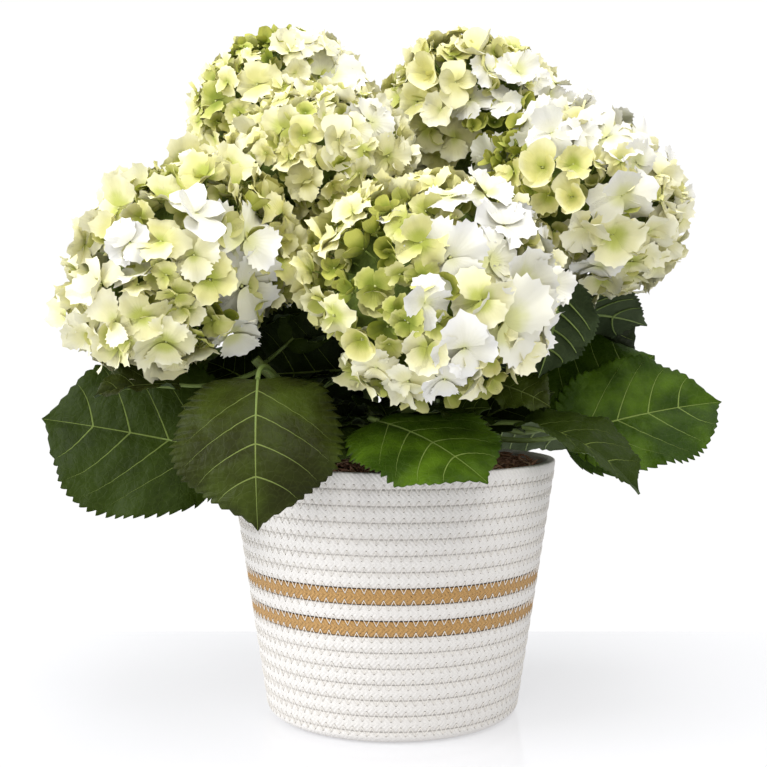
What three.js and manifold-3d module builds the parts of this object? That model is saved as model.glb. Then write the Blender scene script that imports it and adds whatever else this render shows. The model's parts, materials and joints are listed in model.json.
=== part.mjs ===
// A potted hydrangea: mophead flower heads and a skirt of broad leaves, on canes that rise from a
// planter of coiled cotton rope. Millimetres, +Z up, with the origin at the centre of the planter's
// flat underside. The front of the plant faces -Y.
import * as THREE from "three";
import { mergeVertices } from "three/addons/utils/BufferGeometryUtils.js";
import Module from "manifold-3d";

const wasm = await Module();
wasm.setup();

// ---------------------------------------------------------------- driving dimensions
const ROW_PITCH = 9.3; // height of one row of rope
const ROWS = 17; // rows of rope from the underside to the rim
const FIRST_ROW = 0.8; // the lowest row is pressed down to this share of the pitch
const BASE_RADIUS = 77; // outside of the lowest row
const WALL_SLOPE = 0.153; // how far the wall spreads for each millimetre of height
const WALL_THICK = 6; // the rope's thickness across the wall
const FLOOR_THICK = 6;
const SEAM_DEPTH = 1.3; // how far the seam between two rows lies in from their crests
const FOOT_ROUND = 5; // how far the lowest row tucks in to the flat underside
const TAN_ROWS = [7, 9]; // the rows of natural jute, counted from 0 at the underside
const GAP = 0.3; // clearance between solids that touch
const ROUND_STEPS = 36; // sides of everything round in the planter

const SOIL_BELOW_RIM = 6;
const SOIL_DOME = 3; // the growing mix is this much higher in the middle
const SOIL_FLAT = 0.55; // the share of its radius that is flat, where the canes stand

const CANE_BASE_RADIUS = 4.4;
const CANE_TIP_RADIUS = 3.0;
const LINE_STEP = 0.002; // the share of a cane's length by which a place on it is searched
const CANE_STEPS = 7;
const CANE_SIDES = 6;
const CANE_UPRIGHT = 0.45; // a cane rises nearly straight for about this share of its height
const CANE_SPREAD = 0.1; // while it covers this share of its way out to its head
const CANE_INTO_HEAD = 0.35; // and over this share it already points the way its head leans

const CORE_SHARE = 0.8; // a flower head's dense middle, as a share of its reach
const STEM_SHARE = 0.86; // how far down a head's own stem reaches, as a share of its reach
const FLORETS_ALL_ROUND = 31; // florets that would cover a whole ball
const FLORET_REACH_DEG = 118; // florets cover the head from its top down to here
const FLORET_RADIUS = 0.37; // as a share of the head's reach
const FLORET_SEAT = 0.92; // how far out a floret's eye lies, as a share of the head's reach
const FLORET_ROOT = 0.68; // and how deep its root is sunk
const FLORET_NOTCH = 0.7; // the margin between two lobes, as a share of the floret's radius
const FLORET_CUP = 0.06; // how far the lobes stand forward of the notches, as such a share
const FLORET_SWAY = 0.4; // how far florets stray round the head, in radians
const FLORET_DRIFT = 0.14; // and up or down it
const FLORET_VARIES = 0.3; // the largest floret is this share larger than the smallest
const FLORET_ROOM = 1.08; // a floret must clear its neighbours even when this much larger
const HEAD_ROOM = 0.03; // the share of a reach left free between two heads

const LEAF_THICK = 1.5;
const STALK_HALF = 1.7; // half the thickness of a leaf's stalk
const BLADE_STEPS = 11;
const STALK_STEPS = 5;
const TOOTH_DEPTH = 0.93; // how far the margin falls back between two teeth
const LEAF_WIDEST = 0.4; // where along the blade it is widest
const DRAWN_FROM = 0.72; // from here on the blade is drawn out to its point
const DRAWN_IN = 0.7; // and narrowed by up to this share
const BLADE_END = 0.985; // the last station, just short of the point
const SEAT_STEP = 0.1; // how finely the place where a stalk clears its cane is searched
const STALK_ELBOW = 0.45; // how far before the blade the stalk turns into line with it

const seamHeight = (row) => (row - 1 + FIRST_ROW) * ROW_PITCH; // the foot of any row but the first
const SOIL_TOP = seamHeight(ROWS) - SOIL_BELOW_RIM;

// Each flower head: its centre, its reach, its length along its stem as a share of its width, and
// its lean from upright towards a compass direction, in degrees with 0 at +X and 90 at +Y. foot is
// where its cane leaves the growing mix.
const HEADS = {
  front: { at: [21, -80, 255], reach: 77, flat: 0.85, lean: 38, towards: 285, foot: [8, -20] },
  left: { at: [-122, -44, 271], reach: 78, flat: 0.8, lean: 38, towards: 197, foot: [-30, -10] },
  right: { at: [117, 0, 316], reach: 71, flat: 0.82, lean: 35, towards: 5, foot: [30, 0] },
  upper_left: { at: [-46, -6, 339], reach: 61, flat: 0.78, lean: 15, towards: 235, foot: [-9, 3] },
  back_left: { at: [-77, 95, 390], reach: 66, flat: 0.77, lean: 25, towards: 128, foot: [-16, 22] },
  back_right: { at: [57, 73, 381], reach: 67, flat: 0.78, lean: 20, towards: 50, foot: [11, 17] },
  low_back_left: { at: [-100, 84, 288], reach: 58, flat: 0.82, lean: 42, towards: 142, foot: [-34, 14] },
  low_back_right: { at: [54, 114, 286], reach: 60, flat: 0.82, lean: 42, towards: 65, foot: [22, 32] },
};

// The leaves that face forward, and two between the tall heads. Each has the cane it grows from and
// how high up, where its blade starts and where its tip is, the direction its upper side looks in,
// how far the midrib arches above the straight line, the blade's width, and how far, in degrees, its
// halves fold up along the midrib.
const PLACED_LEAVES = {
  far_left: {
    cane: "left", height: 172, base: [-94, -62, 164], tip: [-211, -30, 182],
    face: [-0.1, -0.93, 0.35], arch: 6, width: 96, fold: 5,
  },
  front_left: {
    cane: "left", height: 203, base: [-75, -86, 207], tip: [-71, -126, 128],
    face: [0, -0.89, 0.45], arch: 14, width: 94, fold: -14,
  },
  front: {
    cane: "front", height: 178, base: [-9, -70, 183], tip: [49, -128, 154],
    face: [0.15, -0.55, 0.82], arch: 6, width: 86, fold: -5,
  },
  right: {
    cane: "right", height: 176, base: [111, 0, 171], tip: [213, 25, 190],
    face: [-0.1, -0.8, 0.6], arch: 5, width: 86, fold: 6,
  },
  behind_right: {
    cane: "right", height: 196, base: [108, 36, 177], tip: [178, 62, 220],
    face: [-0.1, -0.93, 0.35], arch: 5, width: 94, fold: -16,
  },
  low_right: {
    cane: "right", height: 168, base: [76, -45, 180], tip: [139, -76, 142],
    face: [0.25, -0.3, 0.92], arch: 9, width: 66, fold: 12,
  },
  beside_front: {
    cane: "right", height: 262, base: [99, -40, 262], tip: [85, -50, 206],
    face: [0.62, 0.75, 0.15], arch: 4, width: 60, fold: -8,
  },
  inner_left: {
    cane: "upper_left", height: 192, base: [-28, -5, 211], tip: [-94, 10, 207],
    face: [-0.1, -0.98, -0.1], arch: 3, width: 82, fold: 4,
  },
  under_front: {
    cane: "front", height: 166, base: [-30, -50, 178], tip: [-33, -101, 162],
    face: [-0.05, -0.4, 0.9], arch: 5, width: 46, fold: -6,
  },
  short_right: {
    cane: "right", height: 186, base: [58, -32, 204], tip: [92, -50, 190],
    face: [0.2, -0.75, 0.6], arch: 3, width: 38, fold: 10,
  },
  under_left: {
    cane: "left", height: 212, base: [-122, -64, 203], tip: [-168, -78, 197],
    face: [-0.2, -0.6, 0.75], arch: 4, width: 32, fold: 26,
  },
  between_tall: {
    cane: "back_left", height: 296, base: [-26, 84, 320], tip: [24, 130, 344],
    face: [-0.1, 0.2, 0.95], arch: 5, width: 56, fold: -8,
  },
  beside_tall: {
    cane: "back_right", height: 298, base: [78, 76, 328], tip: [128, 116, 348],
    face: [-0.1, 0.1, 0.95], arch: 5, width: 52, fold: -8,
  },
};

// The other leaves follow one rule: from its cane each goes out in its own compass direction to a
// blade that starts at one distance from the axis and ends at another, and rolls about its midrib.
const RING_LEAVES = {
  low_back_right: {
    cane: "low_back_right", height: 168, azimuth: 42, from: [100, 175], to: [186, 150],
    roll: -20, width: 92,
  },
  hanging_back_right: {
    cane: "low_back_right", height: 196, azimuth: 74, from: [112, 200], to: [150, 122],
    roll: 0, width: 90,
  },
  low_back: {
    cane: "back_left", height: 168, azimuth: 107, from: [100, 174], to: [198, 158],
    roll: 20, width: 90,
  },
  hanging_back_left: {
    cane: "low_back_left", height: 196, azimuth: 142, from: [112, 200], to: [154, 124],
    roll: 0, width: 90,
  },
  low_left: {
    cane: "low_back_left", height: 168, azimuth: 170, from: [100, 174], to: [200, 166],
    roll: 38, width: 88,
  },
  upper_right: {
    cane: "right", height: 226, azimuth: 19, from: [98, 242], to: [182, 240],
    roll: -30, width: 76,
  },
  upper_back_right: {
    cane: "low_back_right", height: 222, azimuth: 56, from: [96, 236], to: [176, 222],
    roll: 12, width: 78,
  },
  upper_back: {
    cane: "back_right", height: 236, azimuth: 103, from: [88, 250], to: [168, 226],
    roll: 0, width: 74,
  },
  upper_left: {
    cane: "low_back_left", height: 206, azimuth: 168, from: [92, 218], to: [176, 208],
    roll: -12, width: 80,
  },
};
const RING_ARCH = 8;
const RING_FOLD = -6;

// Leaves that fill the plant out at its sides and back, tried one after another from a seed and
// left out where they would touch anything. Each value is a lowest and a highest.
const FILL_SEED = 5;
const FILL_TRIES = 400;
const FILL_MOST = 14;
const FILL = {
  azimuth: [8, 196],
  from: [50, 96],
  level: [186, 330],
  length: [58, 88],
  drop: [4, 52],
  roll: [-28, 28],
};
const FILL_STALK_RISE = 12; // a filling leaf's stalk leaves its cane this far below the blade
const FILL_LEAST_STALK = 20; // and is at least this long
const FILL_WIDTH = 0.84; // the blade's width as a share of its length
const FILL_ROOM = 2.2; // how far a filling leaf keeps clear of everything else

// ---------------------------------------------------------------- helpers
const turn = THREE.MathUtils.degToRad;
const vec = (x, y, z) => new THREE.Vector3(x, y, z);

// A small repeatable random generator: the same seed always gives the same plant.
function seeded(seed) {
  let state = seed >>> 0;
  return () => {
    state = (Math.imul(state, 1664525) + 1013904223) >>> 0;
    return state / 4294967296;
  };
}

// A closed geometry as a manifold solid, and back.
function toSolid(geometry) {
  const bare = geometry.clone();
  bare.deleteAttribute("normal");
  bare.deleteAttribute("uv");
  const merged = mergeVertices(bare, 1e-4);
  return new wasm.Manifold(
    new wasm.Mesh({
      numProp: 3,
      vertProperties: new Float32Array(merged.attributes.position.array),
      triVerts: new Uint32Array(merged.index.array),
    }),
  );
}

function toGeometry(solid) {
  const mesh = solid.getMesh();
  const geometry = new THREE.BufferGeometry();
  geometry.setAttribute("position", new THREE.BufferAttribute(mesh.vertProperties, 3));
  geometry.setIndex(new THREE.BufferAttribute(mesh.triVerts, 1));
  geometry.computeVertexNormals();
  return geometry;
}

// A closed skin over rings of equal length, each an array of points anticlockwise as seen from ahead.
function loft(rings) {
  const positions = rings.flat().flatMap((p) => [p.x, p.y, p.z]);
  const count = rings[0].length;
  const faces = [];
  for (let ring = 0; ring + 1 < rings.length; ring++)
    for (let i = 0; i < count; i++) {
      const a = ring * count + i;
      const b = ring * count + ((i + 1) % count);
      faces.push(a, b, b + count, a, b + count, a + count);
    }
  const last = (rings.length - 1) * count;
  for (let i = 1; i + 1 < count; i++) {
    faces.push(0, i + 1, i);
    faces.push(last, last + i, last + i + 1);
  }
  const geometry = new THREE.BufferGeometry();
  geometry.setAttribute("position", new THREE.Float32BufferAttribute(positions, 3));
  geometry.setIndex(faces);
  geometry.computeVertexNormals();
  return geometry;
}

// ---------------------------------------------------------------- planter
const wallRadius = (z) => BASE_RADIUS + WALL_SLOPE * z;

// The outside of rows first to last - 1, from the bottom up: a seam, then the rope's rounded side.
function ropeSide(first, last) {
  const points = [];
  for (let row = first; row < last; row++) {
    const seam = row ? seamHeight(row) : 0;
    const crest = (seam + seamHeight(row + 1)) / 2;
    points.push(new THREE.Vector2(wallRadius(seam) - SEAM_DEPTH, seam));
    points.push(new THREE.Vector2(wallRadius(crest), crest));
  }
  return points;
}

// One stretch of the coiled wall, rows first to last - 1, as a ring; the lowest stretch has the floor.
function planterStretch(first, last) {
  const bottom = first ? seamHeight(first) + GAP / 2 : 0;
  const top = seamHeight(last) - (last < ROWS ? GAP / 2 : 0);
  const outside = ropeSide(first, last);
  outside[0] = new THREE.Vector2(outside[0].x - (first ? 0 : FOOT_ROUND), bottom);
  outside.push(new THREE.Vector2(wallRadius(top) - SEAM_DEPTH, top));
  const inner = (z) => wallRadius(z) - WALL_THICK;
  const inside = [new THREE.Vector2(inner(top), top)];
  if (first === 0) {
    inside.push(new THREE.Vector2(inner(FLOOR_THICK), FLOOR_THICK));
    inside.push(new THREE.Vector2(0, FLOOR_THICK));
    outside.unshift(new THREE.Vector2(0, 0));
  } else {
    inside.push(new THREE.Vector2(inner(bottom), bottom));
  }
  const profile = [...outside, ...inside];
  profile.push(profile[0].clone());
  return new THREE.LatheGeometry(profile, ROUND_STEPS).rotateX(Math.PI / 2);
}

// The growing mix that fills the planter, slightly domed.
function soil() {
  const inner = (z) => wallRadius(z) - WALL_THICK - GAP;
  const bottom = FLOOR_THICK + GAP;
  const profile = [
    new THREE.Vector2(0, bottom),
    new THREE.Vector2(inner(bottom), bottom),
    new THREE.Vector2(inner(SOIL_TOP), SOIL_TOP),
    new THREE.Vector2(SOIL_FLAT * inner(SOIL_TOP), SOIL_TOP + SOIL_DOME),
    new THREE.Vector2(0, SOIL_TOP + SOIL_DOME),
    new THREE.Vector2(0, bottom),
  ];
  return new THREE.LatheGeometry(profile, ROUND_STEPS).rotateX(Math.PI / 2);
}

// ---------------------------------------------------------------- canes
const headAxis = (head) =>
  vec(
    Math.sin(turn(head.lean)) * Math.cos(turn(head.towards)),
    Math.sin(turn(head.lean)) * Math.sin(turn(head.towards)),
    Math.cos(turn(head.lean)),
  );

// The line of a cane, from the growing mix up into the underside of its head.
function caneLine(head) {
  const foot = vec(...head.foot, SOIL_TOP + SOIL_DOME + GAP);
  const end = vec(...head.at).addScaledVector(headAxis(head), -STEM_SHARE * head.reach - GAP);
  const rise = end.z - foot.z;
  const bend = foot.clone().lerp(end, CANE_SPREAD).setZ(foot.z + CANE_UPRIGHT * rise);
  const turnIn = end.clone().addScaledVector(headAxis(head), -CANE_INTO_HEAD * rise);
  return new THREE.CubicBezierCurve3(foot, bend, turnIn, end);
}

const caneRadius = (t) => THREE.MathUtils.lerp(CANE_BASE_RADIUS, CANE_TIP_RADIUS, t);

// A tapering limb whose rings face along its line; a level foot is flat, as a cut at ground level.
function limb(line, radiusAt, steps, levelFoot) {
  const rings = [];
  for (let step = 0; step <= steps; step++) {
    const t = step / steps;
    const ahead = step === 0 && levelFoot ? vec(0, 0, 1) : line.getTangent(t);
    const side = vec(1, 0, 0).addScaledVector(ahead, -ahead.x).normalize();
    const up = ahead.clone().cross(side);
    const centre = line.getPoint(t);
    rings.push(
      Array.from({ length: CANE_SIDES }, (_, i) => {
        const a = (2 * Math.PI * i) / CANE_SIDES;
        const r = radiusAt(t);
        return centre
          .clone()
          .addScaledVector(side, r * Math.cos(a))
          .addScaledVector(up, r * Math.sin(a));
      }),
    );
  }
  return loft(rings);
}

// How far along a cane's line it has risen to a height.
function risenTo(line, height) {
  let t = 0;
  while (t < 1 && line.getPoint(t).z < height) t += LINE_STEP;
  return Math.min(t, 1);
}

const caneLines = Object.fromEntries(
  Object.entries(HEADS).map(([name, head]) => [name, caneLine(head)]),
);
const canes = Object.fromEntries(
  Object.entries(caneLines).map(([name, line]) => [name, limb(line, caneRadius, CANE_STEPS, true)]),
);
const caneSolids = Object.fromEntries(
  Object.entries(canes).map(([name, cane]) => [name, toSolid(cane)]),
);

// ---------------------------------------------------------------- leaves
// A blade's width as a share of its widest: round at the base, drawn out to a point at the tip.
function bladeWidth(u) {
  const oval = (u ** 0.5 * (1 - u) ** 0.7) / (LEAF_WIDEST ** 0.5 * (1 - LEAF_WIDEST) ** 0.7);
  const drawnIn = (DRAWN_IN * Math.max(0, u - DRAWN_FROM)) / (1 - DRAWN_FROM);
  return oval * (1 - drawnIn);
}

// A ring leaf worked out in the same terms as a placed leaf.
function ringLeaf({ cane, height, azimuth, from, to, roll, width }) {
  const out = vec(Math.cos(turn(azimuth)), Math.sin(turn(azimuth)), 0);
  const at = ([distance, z]) => out.clone().multiplyScalar(distance).setZ(z);
  const [base, tip] = [at(from), at(to)];
  const ahead = tip.clone().sub(base).normalize();
  const face = vec(0, 0, 1).addScaledVector(ahead, -ahead.z);
  face.normalize().applyAxisAngle(ahead, turn(roll));
  const [baseAt, tipAt, faceTo] = [base, tip, face].map((v) => v.toArray());
  return { cane, height, base: baseAt, tip: tipAt, face: faceTo, arch: RING_ARCH, width, fold: RING_FOLD };
}

// The midrib of a leaf: a stalk that arches out of the cane, then the blade's own arch. standOff is
// how far from the cane's middle the stalk begins.
function leafLines(leaf, standOff) {
  const cane = caneLines[leaf.cane];
  const t = risenTo(cane, leaf.height);
  const base = vec(...leaf.base);
  const tip = vec(...leaf.tip);
  const face = vec(...leaf.face).normalize();
  const middle = base.clone().lerp(tip, 0.5).addScaledVector(face, 2 * leaf.arch);
  const blade = new THREE.QuadraticBezierCurve3(base, middle, tip);
  const centre = cane.getPoint(t);
  const reach = base.distanceTo(centre);
  const elbow = base.clone().addScaledVector(blade.getTangent(0), -STALK_ELBOW * reach);
  const out = elbow.clone().sub(centre).normalize();
  const root = centre.clone().addScaledVector(out, standOff);
  const stalk = new THREE.QuadraticBezierCurve3(root, elbow, base);
  return { stalk, blade, face };
}

// The leaf's stations, each with its place, the blade's sideways and upward directions, and u, how
// far along the blade it is. The directions are carried from the blade's middle to both ends.
function leafStations(leaf, standOff) {
  const { stalk, blade, face } = leafLines(leaf, standOff);
  const stations = [];
  for (let i = 0; i < STALK_STEPS; i++) {
    const t = i / STALK_STEPS;
    stations.push({ u: -1, place: stalk.getPoint(t), ahead: stalk.getTangent(t) });
  }
  for (let i = 0; i <= BLADE_STEPS; i++) {
    const u = Math.min(BLADE_END, i / BLADE_STEPS);
    stations.push({ u, place: blade.getPoint(u), ahead: blade.getTangent(u) });
  }
  const middle = STALK_STEPS + Math.round(BLADE_STEPS / 2);
  stations[middle].side = face.clone().cross(stations[middle].ahead).normalize();
  const carry = (from, to) => {
    const { ahead } = stations[to];
    const side = stations[from].side.clone();
    stations[to].side = side.addScaledVector(ahead, -side.dot(ahead)).normalize();
  };
  for (let i = middle; i > 0; i--) carry(i, i - 1);
  for (let i = middle; i + 1 < stations.length; i++) carry(i, i + 1);
  for (const station of stations) station.up = station.ahead.clone().cross(station.side);
  return stations;
}

// One leaf: a square stalk that widens into a blade, thick at the midrib and toothed at its margin.
// With room it is a blade that much larger all round, for testing what is near.
function leafAt(leaf, standOff, room = 0) {
  const fold = turn(leaf.fold);
  const rings = leafStations(leaf, standOff).map(({ u, place, side, up }, i) => {
    const onBlade = u >= 0;
    const tooth = i % 2 ? 1 : TOOTH_DEPTH;
    const half = Math.max(
      u === BLADE_END ? LEAF_THICK / 2 : STALK_HALF,
      onBlade ? 0.5 * leaf.width * bladeWidth(u) * tooth + room : 0,
    );
    const thick = onBlade ? LEAF_THICK / 2 + room : STALK_HALF;
    const lift = onBlade ? half * Math.sin(fold) : 0;
    const margin = (sign) =>
      place.clone().addScaledVector(side, sign * half * Math.cos(fold)).addScaledVector(up, lift);
    return [
      margin(-1),
      place.clone().addScaledVector(up, -thick),
      margin(1),
      place.clone().addScaledVector(up, thick),
    ];
  });
  return loft(rings);
}

// A leaf seated on its cane: the stalk begins a hair's breadth off the cane's flat side.
function seatedLeaf(leaf) {
  let standOff = CANE_TIP_RADIUS;
  const touches = () =>
    !caneSolids[leaf.cane].intersect(toSolid(leafAt(leaf, standOff))).isEmpty();
  while (touches()) standOff += SEAT_STEP;
  return leafAt(leaf, standOff + GAP);
}

// A filling leaf: its place and size come from the seed, its cane is the nearest far enough off.
function fillLeaf(random) {
  const pick = ([low, high]) => THREE.MathUtils.lerp(low, high, random());
  const [azimuth, from, level] = [FILL.azimuth, FILL.from, FILL.level].map(pick);
  const [length, drop, roll] = [FILL.length, FILL.drop, FILL.roll].map(pick);
  const height = level - FILL_STALK_RISE;
  const base = vec(from * Math.cos(turn(azimuth)), from * Math.sin(turn(azimuth)), level);
  const stalkTo = (name) => {
    const line = caneLines[name];
    if (line.getPoint(1).z < height + FILL_STALK_RISE) return Infinity;
    const distance = line.getPoint(risenTo(line, height)).distanceTo(base);
    return distance < FILL_LEAST_STALK ? Infinity : distance;
  };
  const cane = Object.keys(HEADS).reduce((a, b) => (stalkTo(a) <= stalkTo(b) ? a : b));
  if (stalkTo(cane) === Infinity) return null;
  const to = [from + Math.sqrt(length ** 2 - drop ** 2), level - drop];
  return ringLeaf({ cane, height, azimuth, from: [from, level], to, roll, width: FILL_WIDTH * length });
}

// ---------------------------------------------------------------- flower heads
// How far a point is from a head's centre, as a share of its reach.
const share = (p, head) => p.distanceTo(vec(...head.at)) / head.reach;

// True if a point lies in this head's own space: nearer to it than to any other head.
const inOwnSpace = (p, head) =>
  Object.values(HEADS).every(
    (other) => other === head || share(p, head) < share(p, other) - HEAD_ROOM,
  );

// A four-lobed floret as a shallow funnel, its point sunk in the head's core.
function floret(centre, out, radius, spin, root) {
  const side = vec(0, 0, 1).cross(out).normalize();
  const up = out.clone().cross(side);
  const rim = Array.from({ length: 8 }, (_, i) => {
    const a = spin + (Math.PI * i) / 4;
    const r = i % 2 ? FLORET_NOTCH * radius : radius;
    return centre
      .clone()
      .addScaledVector(side, r * Math.cos(a))
      .addScaledVector(up, r * Math.sin(a))
      .addScaledVector(out, i % 2 ? 0 : FLORET_CUP * radius);
  });
  const eye = centre.clone().addScaledVector(out, FLORET_CUP * radius);
  const faces = rim.flatMap((_, i) => {
    const next = (i + 1) % rim.length;
    return [i, next, 8, next, i, 9];
  });
  const geometry = new THREE.BufferGeometry();
  geometry.setAttribute(
    "position",
    new THREE.Float32BufferAttribute([...rim, eye, root].flatMap((p) => [p.x, p.y, p.z]), 3),
  );
  geometry.setIndex(faces);
  return { rim, solid: toSolid(geometry) };
}

const headUpright = (head) =>
  new THREE.Quaternion().setFromUnitVectors(vec(0, 0, 1), headAxis(head));

// The rounded body of a head, at a share of its reach.
const headBody = (head, portion) =>
  new THREE.IcosahedronGeometry(portion * head.reach, 1)
    .scale(1, 1, head.flat)
    .applyQuaternion(headUpright(head))
    .translate(...head.at);

// One mophead: a dense core on a short stem, with florets spread evenly over it from a seeded rule.
// A floret that would leave the head's space, or touch a cane or a leaf, is left out.
function flowerHead(head, seed, neighbours) {
  const random = seeded(seed);
  const axis = headAxis(head);
  const centre = vec(...head.at);
  const stemEnd = centre.clone().addScaledVector(axis, -STEM_SHARE * head.reach);
  const stem = limb(new THREE.LineCurve3(stemEnd, centre), () => CANE_TIP_RADIUS, 1, false);
  let solid = toSolid(headBody(head, CORE_SHARE)).add(toSolid(stem));
  const golden = Math.PI * (3 - Math.sqrt(5));
  for (let i = 0; i < FLORETS_ALL_ROUND; i++) {
    const height = 1 - (2 * i + 1) / FLORETS_ALL_ROUND;
    const [sideways, onwards, size, spin] = [random(), random(), random(), random()];
    if (height < Math.cos(turn(FLORET_REACH_DEG))) continue;
    const around = golden * i + FLORET_SWAY * (sideways - 0.5);
    const polar = Math.acos(height) + FLORET_DRIFT * (onwards - 0.5);
    const out = vec(
      Math.sin(polar) * Math.cos(around),
      Math.sin(polar) * Math.sin(around),
      head.flat * Math.cos(polar),
    ).applyQuaternion(headUpright(head));
    const radius = head.reach * FLORET_RADIUS * (1 + FLORET_VARIES * (size - 0.5));
    const seat = centre.clone().addScaledVector(out, FLORET_SEAT * head.reach);
    const root = centre.clone().addScaledVector(out, FLORET_ROOT * head.reach);
    const outwards = out.clone().normalize();
    const made = floret(seat, outwards, radius, Math.PI * spin, root);
    const roomy = floret(seat, outwards, FLORET_ROOM * radius, Math.PI * spin, root);
    const fits =
      made.rim.every((p) => inOwnSpace(p, head)) &&
      neighbours.every((other) => other.intersect(roomy.solid).isEmpty());
    if (fits) solid = solid.add(made.solid);
  }
  return toGeometry(solid);
}

// ---------------------------------------------------------------- materials and assembly
const finish = (color, roughness) =>
  new THREE.MeshStandardMaterial({ color, roughness, metalness: 0 });
const cotton = finish(0xefece6, 0.9);
const jute = finish(0xc09a5b, 0.9);
const growingMix = finish(0x5a4034, 1);
const bark = finish(0x6f8a3c, 0.6);
const petal = finish(0xf3f3df, 0.7);
const foliage = finish(0x2f5a1c, 0.5);

const plant = new THREE.Group();

function place(name, geometry, material) {
  const mesh = new THREE.Mesh(geometry, material);
  mesh.name = name;
  plant.add(mesh);
}

const [lowTan, highTan] = TAN_ROWS;
place("planter_lower", planterStretch(0, lowTan), cotton);
place("rope_tan_lower", planterStretch(lowTan, lowTan + 1), jute);
place("planter_middle", planterStretch(lowTan + 1, highTan), cotton);
place("rope_tan_upper", planterStretch(highTan, highTan + 1), jute);
place("planter_upper", planterStretch(highTan + 1, ROWS), cotton);
place("growing_mix", soil(), growingMix);

const leaves = Object.fromEntries([
  ...Object.entries(PLACED_LEAVES).map(([name, leaf]) => [name, seatedLeaf(leaf)]),
  ...Object.entries(RING_LEAVES).map(([name, leaf]) => [name, seatedLeaf(ringLeaf(leaf))]),
]);
const neighbours = [...Object.values(caneSolids), ...Object.values(leaves).map(toSolid)];

const bodies = Object.values(HEADS).map((head) => toSolid(headBody(head, FLORET_SEAT)));
const clear = (solid) =>
  [...neighbours, ...bodies].every((other) => other.intersect(solid).isEmpty());
const random = seeded(FILL_SEED);
for (let tried = 0, made = 0; tried < FILL_TRIES && made < FILL_MOST; tried++) {
  const leaf = fillLeaf(random);
  if (!leaf || !clear(toSolid(leafAt(leaf, 3 * CANE_BASE_RADIUS, FILL_ROOM)))) continue;
  const seated = seatedLeaf(leaf);
  if (!clear(toSolid(seated))) continue;
  made += 1;
  leaves[`fill_${made}`] = seated;
  neighbours.push(toSolid(seated));
}

for (const [name, cane] of Object.entries(canes)) place(`cane_${name}`, cane, bark);
for (const [name, leaf] of Object.entries(leaves)) place(`leaf_${name}`, leaf, foliage);
Object.entries(HEADS).forEach(([name, head], i) => {
  place(`flower_head_${name}`, flowerHead(head, 11 + i, neighbours), petal);
});

export default plant;
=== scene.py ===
# %% [markdown]
# # A potted hydrangea
# A mophead hydrangea stands in a planter of coiled cotton rope with two rows of jute. Every piece
# is grown around a fixed frame of solids, so each cane, leaf and flower head starts from the same
# named sizes as its solid and carries them further, into petals, veins, stitches and strands.

# %% Load the frame
import json
import math

import bpy
import numpy as np
from mathutils import Matrix, Vector
from mathutils.kdtree import KDTree

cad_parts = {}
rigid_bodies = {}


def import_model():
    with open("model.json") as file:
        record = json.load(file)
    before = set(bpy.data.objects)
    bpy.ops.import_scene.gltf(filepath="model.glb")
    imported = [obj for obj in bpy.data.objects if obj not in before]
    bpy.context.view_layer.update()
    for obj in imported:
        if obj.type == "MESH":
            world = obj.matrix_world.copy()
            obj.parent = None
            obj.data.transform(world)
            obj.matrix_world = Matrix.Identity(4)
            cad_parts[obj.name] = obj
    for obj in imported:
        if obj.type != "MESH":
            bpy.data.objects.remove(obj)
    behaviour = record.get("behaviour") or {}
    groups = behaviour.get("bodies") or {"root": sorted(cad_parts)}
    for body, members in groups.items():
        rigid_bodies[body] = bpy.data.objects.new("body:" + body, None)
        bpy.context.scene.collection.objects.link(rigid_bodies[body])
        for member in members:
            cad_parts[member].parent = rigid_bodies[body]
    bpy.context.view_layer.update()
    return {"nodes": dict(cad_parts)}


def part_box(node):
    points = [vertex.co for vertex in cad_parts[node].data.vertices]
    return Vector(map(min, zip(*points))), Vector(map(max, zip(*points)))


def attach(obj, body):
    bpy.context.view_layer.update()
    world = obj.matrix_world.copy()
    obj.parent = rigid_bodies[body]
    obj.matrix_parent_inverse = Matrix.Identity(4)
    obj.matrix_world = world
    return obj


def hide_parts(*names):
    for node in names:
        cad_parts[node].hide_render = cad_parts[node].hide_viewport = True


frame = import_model()
print("nodes in the frame:", len(frame["nodes"]))

# %% [markdown]
# ## Camera, table and light
# The plant is seen almost level, from a little above its rim, through a long lens, so that the
# rows of the basket curve gently. The table is a pale glossy slab that ends a little way behind
# the pot, in front of a white wall of light. It glows a little itself, which keeps the shadows on
# it soft. Light comes from all round, with one lamp high in front, one overhead and a broad one on
# the left.

# %% Camera
FRAME_PIXELS, FOCAL_PIXELS = 767, 1200
SENSOR = 36
LENS = SENSOR * FOCAL_PIXELS / FRAME_PIXELS
EYE_AT = (-0.0056, -0.748, 0.222)
EYE_TILT = 88.48  # degrees up from straight down
camera_data = bpy.data.cameras.new("camera")
camera_data.lens = LENS
camera_data.sensor_width = SENSOR
camera = bpy.data.objects.new("camera", camera_data)
camera.location = EYE_AT
camera.rotation_euler = (math.radians(EYE_TILT), 0, 0)
bpy.context.collection.objects.link(camera)
bpy.context.scene.camera = camera
print("lens in mm:", round(LENS, 2))

# %% Node helpers
MM = 0.001


def srgb(red, green, blue):
    """A display colour from 0 to 255 as the linear colour that a shader takes."""
    parts = [c / 255 for c in (red, green, blue)]
    linear = [c / 12.92 if c <= 0.04045 else ((c + 0.055) / 1.055) ** 2.4 for c in parts]
    return (*linear, 1.0)


def feed(tree, socket, value):
    """Links a socket to another socket, or sets it to a plain value."""
    if isinstance(value, bpy.types.NodeSocket):
        tree.links.new(value, socket)
    elif value is not None:
        socket.default_value = value


def add_node(tree, kind, inputs=None, **settings):
    """A new node with its settings, and its inputs fed by name or number."""
    node = tree.nodes.new(kind)
    for name, value in settings.items():
        setattr(node, name, value)
    for name, value in (inputs or {}).items():
        feed(tree, node.inputs[name], value)
    return node


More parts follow.
